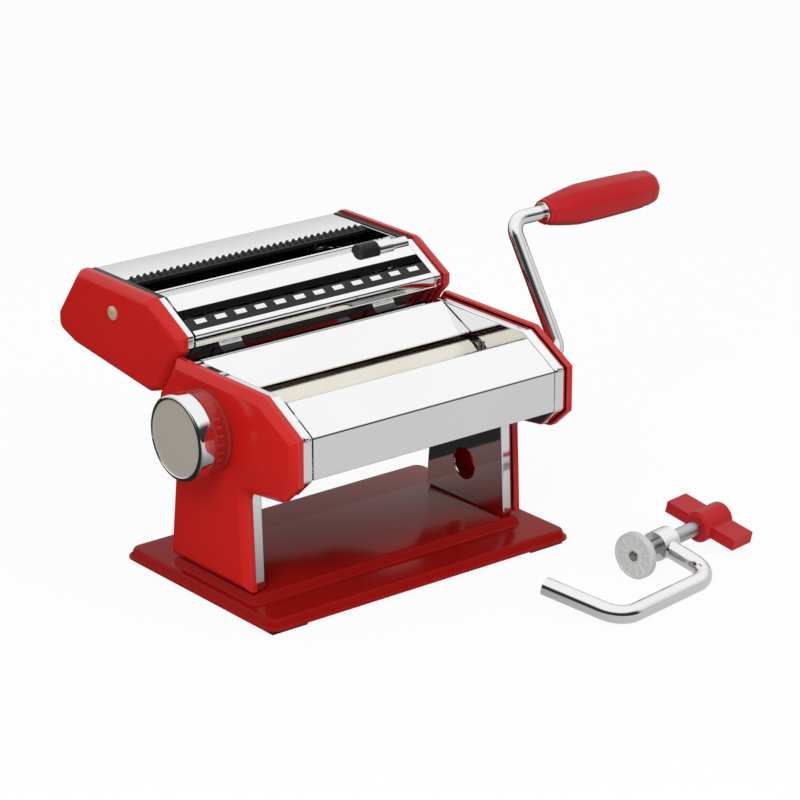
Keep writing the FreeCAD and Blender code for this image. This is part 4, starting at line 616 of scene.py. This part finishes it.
def buildTopStrips():
    outer = topStrip["inner"] + topStrip["width"]
    front, rear, corner = topStrip["front"], topStrip["rear"], topStrip["corner"]
    left = drawBar("headTopShade", (-outer, -topStrip["inner"]), [
        (front, topStrip["low"]), (front, topStrip["high"], corner),
        (rear, topStrip["high"], corner), (rear, topStrip["low"])], 2)
    endEdit()
    smooth(left)
    right = copyPiece(left, sideways(topStrip["inner"] + outer))
    for strip in (left, right):
        dress(strip, "cutter_head", "black_trim_and_painted_shade")


# guards in the mouths of the cutter head, as outlines; the black ones are the plastic lip at the
# nose of the wide mouth and painted shade in the fine mouth
guards = {
    "wideGuard": [(27.6, 134.6), (35.4, 138.9, 0.5), (35.9, 137.8), (28.2, 131.8)],
    "fineMouthShade": [(58.2, 144.6), (59.0, 145.4), (68.5, 143.2, 0.5), (68.5, 142.0), (59.0, 143.2)],
    "fineEdge": [(69.3, 143.2), (70.4, 143.6), (70.8, 143.0), (69.8, 142.4)],
    "toothBar": [(83.2, 145.6), (87.3, 147.4, 0.5), (87.3, 144.0), (84.4, 143.4)],
}


def buildGuards():
    for label, corners in guards.items():
        guard = drawBar(label, (-sheetReach, sheetReach), corners, 3)
        endEdit()
        smooth(guard)
        if label == "fineEdge":
            dress(guard, "cutter_head", "chrome_rod")
        else:
            dress(guard, "cutter_head", "black_trim_and_painted_shade")


# bright tops of the wide cutter's rings, which show over the guard
ringTops = dict(count=12, pitch=12.6, width=6.6,
                outline=[(30.9, 136.3), (33.5, 137.7), (33.4, 138.3), (30.8, 136.9)])
# teeth along the front edge of the rear plate
fineTeeth = dict(count=36, pitch=4.2, y=87.9, z=147.4, lean=(0, -1, -0.45), length=3.2,
                 diameter=2.1, sides=10, tip=[(0.4, 1.2)], softAngle=40)


# the first of a row that is centred between the side frames stands here
def rowStart(look):
    return -(look["count"] - 1) / 2 * look["pitch"]


# one piece and its copies at an even pitch
def makeRow(piece, look):
    copies = [copyPiece(piece, sideways(index * look["pitch"]))
              for index in range(1, look["count"])]
    return joinPieces(piece, *copies)


def buildRingTops():
    start = rowStart(ringTops)
    ring = drawBar("wideRingTops", (start - ringTops["width"] / 2, start + ringTops["width"] / 2),
                   ringTops["outline"])
    endEdit()
    rings = makeRow(ring, ringTops)
    smooth(rings)
    dress(rings, "cutter_head", "chrome_rod")


def buildFineTeeth():
    root = spot(rowStart(fineTeeth), fineTeeth["y"], fineTeeth["z"])
    tooth = roundBar("fineTeeth", root, fineTeeth["lean"], fineTeeth["length"],
                     fineTeeth["diameter"], fineTeeth["sides"])
    growEnd(tooth, fineTeeth["lean"], root, fineTeeth["diameter"], fineTeeth["tip"])
    teeth = makeRow(tooth, fineTeeth)
    smooth(teeth, fineTeeth["softAngle"])
    dress(teeth, "cutter_head", "black_trim_and_painted_shade")
    print("cutter mouths fitted")


# black roller over the right end of the centre strip, and the bright collar beside it;
# each end is its direction along x and its steps
endDrum = dict(x=45.5, y=49.5, z=146.2, length=11.5, diameter=10.4, softAngle=35,
               ends=[(-1, [(0.7, 9.4), (0, 5.0), (-0.4, 4.6)]), (1, [(0, 8.6), (2.0, 8.6)])])
endCollar = dict(x=58.1, y=49.5, z=146.2, length=8.5, diameter=9.8, softAngle=35,
                 ends=[(-1, [(0.5, 9.0)]), (1, [(0.3, 8.8), (0, 7.4), (10.6, 7.4)])])


# a round piece on an axis along x, with its ends carried on one after the other
def turnPiece(label, look, sides=48):
    start = spot(look["x"], look["y"], look["z"])
    piece = roundBar(label, start, (1, 0, 0), look["length"], look["diameter"], sides)
    for direction, steps in look["ends"]:
        growEnd(piece, (direction, 0, 0), start, look["diameter"], steps)
    return piece


def buildDrum():
    drum = turnPiece("endDrum", endDrum)
    smooth(drum, endDrum["softAngle"])
    dress(drum, "cutter_head", "black_trim_and_painted_shade")
    collar = turnPiece("endCollar", endCollar)
    smooth(collar, endCollar["softAngle"])
    dress(collar, "cutter_head", "chrome_rod")


# domed rivets at the corners of the front cover
rivet = dict(x=81.9, y=-72.6, z=107.0, lean=(0, -0.8, 0.6), length=0.6, diameter=3.6, sides=28,
             dome=[(0.5, 3.2), (0.4, 2.3), (0.2, 1.0)], softAngle=60)


def buildRivets():
    root = spot(-rivet["x"], rivet["y"], rivet["z"])
    left = roundBar("cornerRivet", root, rivet["lean"], rivet["length"], rivet["diameter"],
                    rivet["sides"])
    growEnd(left, rivet["lean"], root, rivet["diameter"], rivet["dome"])
    rivets = joinPieces(left, copyPiece(left, sideways(2 * rivet["x"])))
    smooth(rivets, rivet["softAngle"])
    dress(rivets, "machine", "chrome_rod")


# curved guards over the ends of the front roller; the arc's angles are in degrees
hopperGuard = dict(inner=60.0, outer=78.2, y=-31.0, z=94.5, radius=14.4, wall=0.7, start=18,
                   end=118, step=10, softAngle=40)


def arcPoints(look, radius):
    return [(look["y"] + radius * math.cos(math.radians(angle)),
             look["z"] + radius * math.sin(math.radians(angle)))
            for angle in range(look["start"], look["end"] + 1, look["step"])]


def buildHopperGuards():
    outline = (arcPoints(hopperGuard, hopperGuard["radius"])
               + arcPoints(hopperGuard, hopperGuard["radius"] - hopperGuard["wall"])[::-1])
    left = drawBar("hopperGuard", (-hopperGuard["outer"], -hopperGuard["inner"]), outline)
    endEdit()
    smooth(left, hopperGuard["softAngle"])
    right = copyPiece(left, sideways(hopperGuard["outer"] + hopperGuard["inner"]))
    for guard in (left, right):
        dress(guard, "machine", "guard_steel")
    print("front details placed")


# thickness knob: a rolled rim round a dished face on the left, a socket on the right
knob = dict(
    x=-110.3, y=-5.0, z=94.5, length=6.0, diameter=45.0, softAngle=30,
    ends=[(-1, [(0.8, 44.7), (0.6, 44.0), (0.4, 43.0), (0.25, 41.8), (0.1, 40.4), (-0.3, 39.8),
                (-0.25, 39.0), (-0.1, 37.0), (0.08, 30.0), (0.12, 22.0), (0.03, 12.0),
                (0, 0.1)]),
          (1, [(0, 40.6), (-5.6, 40.2), (0, 16.0), (11.6, 16.0), (0, 10.2), (-12.0, 10.2)])],
    satinX=-111.0, satinDiameter=39.7)

# dial behind the knob, grooved and marked all round; every third mark is long
dial = dict(
    x=-94.2, y=-5.0, z=94.5, length=2.2, diameter=43.0, softAngle=30,
    ends=[(-1, [(0.4, 42.0), (0.8, 42.0), (0.3, 43.0), (6.2, 43.0), (0.3, 42.0), (0.6, 42.0),
                (0.3, 43.0), (0.6, 42.6), (0.3, 42.0), (0, 37.0), (-9.2, 37.0), (0, 10.4),
                (-2.0, 10.4)])],
    marks=30, markX=-97.6, markRadius=21.4, longMark=4.6, shortMark=3.4,
    markDiameter=0.7, markSides=8)


def buildKnob():
    piece = turnPiece("thicknessKnob", knob, 96)
    smooth(piece, knob["softAngle"])
    dress(piece, "knob", "chrome_rod", "regulator_knob")
    centre = spot(knob["satinX"], knob["y"], knob["z"])
    repaint(piece, "satin_metal", lambda place, normal: place.x < centre.x
            and (place - centre).yz.length < knob["satinDiameter"] / 2000)


def buildDial():
    centre = spot(dial["markX"], dial["y"], dial["z"])
    pieces = [turnPiece("dialCollar", dial, 96)]
    for first, last, length in ((0, 1, dial["longMark"]), (1, 3, dial["shortMark"])):
        mark = roundBar("dialMark", centre + Vector((0, dial["markRadius"] / 1000, 0)),
                        (-1, 0, 0), length, dial["markDiameter"], dial["markSides"])
        places = [index for index in range(dial["marks"]) if first <= index % 3 < last]
        pieces += [copyPiece(mark, turned(centre, (1, 0, 0), 360 * index / dial["marks"]))
                   for index in places]
        bpy.data.objects.remove(mark)
    collar = joinPieces(*pieces)
    smooth(collar, dial["softAngle"])
    dress(collar, "machine", "dial_paint", "dial_collar")
    print("knob and dial turned")


# crank grip: eight flats with soft edges, a recess at its neck and a stepped, rounded tail
grip = dict(
    x=142.6, y=11.138, z=160.138, length=2.0, diameter=14.6, turn=-10.2, soft=1.3, softAngle=26,
    ends=[(1, [(0.9, 16.2), (6, 18.6), (7, 20.9), (7, 22.8), (1.6, 23.0), (16, 23.0),
               (15, 22.5), (13.5, 21.6), (1.0, 20.7), (1.0, 20.5), (3.4, 20.3), (2.4, 18.4),
               (1.6, 15.6), (0.9, 11.6), (0.4, 7.0)]),
          (-1, [(0, 12.4), (-2.4, 12.0), (0, 8.2), (-66, 8.2)])],
    shortEdge=0.3, boreReach=7.2)


def buildGrip():
    centre = spot(grip["x"], grip["y"], grip["z"])
    piece = turnPiece("crankGripHandle", grip, 8)
    startEdit(piece)
    bpy.ops.mesh.select_all(action="SELECT")
    bpy.ops.transform.rotate(value=-math.radians(grip["turn"]), orient_axis="X",
                             center_override=centre)
    # the long edges outside the bore
    selectEdges(piece, 12, lambda first, last: abs(first.x - last.x) > grip["shortEdge"] / 1000
                and min((first - centre).yz.length,
                        (last - centre).yz.length) > grip["boreReach"] / 1000)
    bpy.ops.mesh.bevel(offset=grip["soft"] / 1000, segments=3, affect="EDGES",
                       clamp_overlap=True)
    endEdit()
    smooth(piece, grip["softAngle"])
    dress(piece, "grip", "red_plastic", "crank_grip")
    print("grip moulded")


# raised rim, ribs and rivet on the disc that the clamp's screw presses with
pad = dict(
    x=97.651, y=-114.946, z=12.53, along=(0.98769, 0.15643, 0.0), softAngle=35,
    diameter=24.4, sunk=0.4, length=0.5,
    rim=[(0.2, 23.8), (0.05, 22.6), (-0.45, 22.0), (-0.05, 9.8), (0.35, 9.2), (0, 6.8),
         (-0.2, 6.6)],
    ribs=12, ribDiameter=0.8, ribStart=4.5, ribLength=5.6, ribTip=[(0.8, 0.4)], ribRise=0.2,
    rivetDiameter=5.6, rivetSunk=0.6, rivetLength=0.8, rivetSoftAngle=40,
    rivetDome=[(0.25, 5.0), (0.2, 3.6), (0.05, 1.6), (-0.3, 1.2)])


def buildPad():
    along = Vector(pad["along"])
    face = spot(pad["x"], pad["y"], pad["z"])
    rim = roundBar("padRim", face - along * pad["sunk"] / 1000, along, pad["length"],
                   pad["diameter"], 72)
    growEnd(rim, -along, face, pad["diameter"], pad["rim"])
    ribFoot = face - along * pad["ribRise"] / 1000
    halfStep = turned(ribFoot, along, 180 / pad["ribs"])
    outward = halfStep.to_3x3() @ along.cross(Vector((0, 0, 1)))
    rib = roundBar("padRib", ribFoot + outward * pad["ribStart"] / 1000, outward,
                   pad["ribLength"], pad["ribDiameter"], 8)
    growEnd(rib, outward, ribFoot, pad["ribDiameter"], pad["ribTip"])
    others = [copyPiece(rib, turned(ribFoot, along, 360 * index / pad["ribs"]))
              for index in range(1, pad["ribs"])]
    rim = joinPieces(rim, rib, *others)
    smooth(rim, pad["softAngle"])
    dress(rim, "clamp_pad", "grey_plastic")
    rivetHead = roundBar("padRivet", face - along * pad["rivetSunk"] / 1000, along,
                         pad["rivetLength"], pad["rivetDiameter"], 32)
    growEnd(rivetHead, -along, face, pad["rivetDiameter"], pad["rivetDome"])
    smooth(rivetHead, pad["rivetSoftAngle"])
    dress(rivetHead, "clamp_pad", "guard_steel")
    print("clamp pad dressed")


buildCovers()
buildCaps()
buildCapScrews()
buildBase()
buildSheets()
buildTopStrips()
buildGuards()
buildRingTops()
buildFineTeeth()
buildDrum()
buildRivets()
buildHopperGuards()
buildKnob()
buildDial()
buildGrip()
buildPad()

# the floor is white to the camera and keeps the shadow; mirrors see it pale in front of the
# machine and dark behind it, measured along mirrorLean in metres
floorLook = dict(size=12.0, color=(0.88, 0.88, 0.88), roughness=0.9, gloss=0.1, glow=0.93,
                 mirrorLean=(0.35, -0.94, 0), mirrorDark=(-0.06, 0.02), mirrorPale=(0.16, 0.66))


# a value that runs from one (place, level) to the other
def rampNode(tree, start, end, **settings):
    return addNode(tree, "MapRange", {"From Min": start[0], "From Max": end[0],
                                      "To Min": start[1], "To Max": end[1]}, **settings)


def buildFloor():
    bpy.ops.mesh.primitive_plane_add(size=floorLook["size"], location=(0, 0, 0))
    floor = bpy.context.object
    floor.name = "floor"
    material, tree, paper = newMaterial("floorPaper", floorLook["color"],
                                        gloss=floorLook["gloss"])
    paper.inputs["Roughness"].default_value = floorLook["roughness"]
    glow = addNode(tree, "Emission")
    mirrored = addNode(tree, "Emission")
    path = addNode(tree, "LightPath")
    share = addNode(tree, "Math", {1: floorLook["glow"]}, operation="MULTIPLY")
    link(tree, path, "Is Camera Ray", share, 0)
    place = addNode(tree, "TexCoord")
    lean = addNode(tree, "VectorMath", {1: floorLook["mirrorLean"]}, operation="DOT_PRODUCT")
    link(tree, place, "Object", lean, 0)
    level = rampNode(tree, floorLook["mirrorDark"], floorLook["mirrorPale"])
    link(tree, lean, "Value", level, "Value")
    link(tree, level, "Result", mirrored, "Strength")
    unseen = addNode(tree, "MixShader")
    link(tree, path, "Is Glossy Ray", unseen, 0)
    link(tree, paper, 0, unseen, 1)
    link(tree, mirrored, 0, unseen, 2)
    surfaceMix = addNode(tree, "MixShader")
    link(tree, share, 0, surfaceMix, 0)
    link(tree, unseen, 0, surfaceMix, 1)
    link(tree, glow, 0, surfaceMix, 2)
    link(tree, surfaceMix, 0, tree.nodes["Material Output"], "Surface")
    floor.data.materials.append(material)


# mirrors see these shades from the lowest (0) to the highest (1) direction, with a dark band
# on the camera's side; all else is lit by a fill from the horizon up, and the camera sees white
studio = dict(shades=[(0.40, 0.55), (0.50, 0.62), (0.62, 0.74), (0.80, 1.06), (1.0, 1.08)],
              bandSide=(-0.45, -0.89, 0.0), bandWidth=(0.05, 0.45), bandFoot=(-0.10, -0.04),
              bandTop=(0.70, 0.48), bandDepth=0.95, fillLow=(0.0, 0.17), fillHigh=(0.5, 0.66))


def buildStudio():
    world = bpy.data.worlds.new("studio")
    bpy.context.scene.world = world
    world.use_nodes = True
    tree = world.node_tree
    place = addNode(tree, "TexCoord")
    split = addNode(tree, "SeparateXYZ")
    link(tree, place, "Generated", split, "Vector")
    height = addNode(tree, "MapRange", {"From Min": -1, "From Max": 1})
    link(tree, split, "Z", height, "Value")
    ramp = addNode(tree, "ValToRGB")
    link(tree, height, "Result", ramp, "Fac")
    shades = studio["shades"]
    stops = ramp.color_ramp.elements
    for index in (0, 1):
        position, shade = shades[-index]
        stops[index].position = position
        stops[index].color = (shade, shade, shade, 1)
    for position, shade in shades[1:-1]:
        stops.new(position).color = (shade, shade, shade, 1)
    facing = addNode(tree, "VectorMath", {1: studio["bandSide"]}, operation="DOT_PRODUCT")
    link(tree, place, "Generated", facing, 0)
    # the band is where all three masks meet
    band = None
    for source, output, (start, full) in ((facing, "Value", studio["bandWidth"]),
                                          (split, "Z", studio["bandFoot"]),
                                          (split, "Z", studio["bandTop"])):
        mask = rampNode(tree, (start, 0), (full, 1), interpolation_type="SMOOTHSTEP")
        link(tree, source, output, mask, "Value")
        if band:
            times = addNode(tree, "Math", operation="MULTIPLY")
            link(tree, band, 0, times, 0)
            link(tree, mask, 0, times, 1)
            mask = times
        band = mask
    depth = addNode(tree, "Math", {1: studio["bandDepth"]}, operation="MULTIPLY")
    link(tree, band, 0, depth, 0)
    banded = addNode(tree, "Mix", {"B": (0, 0, 0, 1)}, data_type="RGBA")
    link(tree, depth, 0, banded, "Factor")
    link(tree, ramp, "Color", banded, "A")
    fill = rampNode(tree, studio["fillLow"], studio["fillHigh"])
    link(tree, split, "Z", fill, "Value")
    path = addNode(tree, "LightPath")
    mirrored = addNode(tree, "Mix", data_type="RGBA")
    link(tree, path, "Is Glossy Ray", mirrored, "Factor")
    link(tree, fill, "Result", mirrored, "A")
    link(tree, banded, "Result", mirrored, "B")
    seen = addNode(tree, "Mix", {"B": (1, 1, 1, 1)}, data_type="RGBA")
    link(tree, path, "Is Camera Ray", seen, "Factor")
    link(tree, mirrored, "Result", seen, "A")
    link(tree, seen, "Result", tree.nodes["Background"], "Color")


# soft boxes, metres and watts
lamps = {
    "frontLeftBox": dict(place=(-1.15, -0.9, 1.25), size=0.7, power=16),
    "frontRightBox": dict(place=(0.4, -1.5, 0.9), size=0.6, power=5),
}
lampAim = (0, 0, 0.08)


# turns a lamp or the camera at its place towards a point
def aimAt(tool, place, aim):
    tool.rotation_euler = (Vector(place) - Vector(aim)).to_track_quat("Z", "Y").to_euler()


def buildLamps():
    for name, look in lamps.items():
        bpy.ops.object.light_add(type="AREA", location=look["place"])
        lamp = bpy.context.object
        lamp.name = name
        lamp.data.shape = "SQUARE"
        lamp.data.size = look["size"]
        lamp.data.energy = look["power"]
        lamp.visible_glossy = False
        aimAt(lamp, look["place"], lampAim)


# metres, with the lens and the sensor in millimetres
cameraLook = dict(place=(-1.0414, -1.2600, 0.6738), aim=(-0.02029, 0.0128, 0.08023),
                  lens=148.87, sensor=36.0, farthest=50.0)


def buildCamera():
    bpy.ops.object.camera_add(location=cameraLook["place"])
    camera = bpy.context.object
    camera.data.sensor_width = cameraLook["sensor"]
    camera.data.lens = cameraLook["lens"]
    camera.data.clip_end = cameraLook["farthest"]
    aimAt(camera, cameraLook["place"], cameraLook["aim"])
    bpy.context.scene.camera = camera


buildFloor()
buildStudio()
buildLamps()
buildCamera()
bpy.context.scene.view_settings.view_transform = "Standard"
print("stage, lamps and camera set")
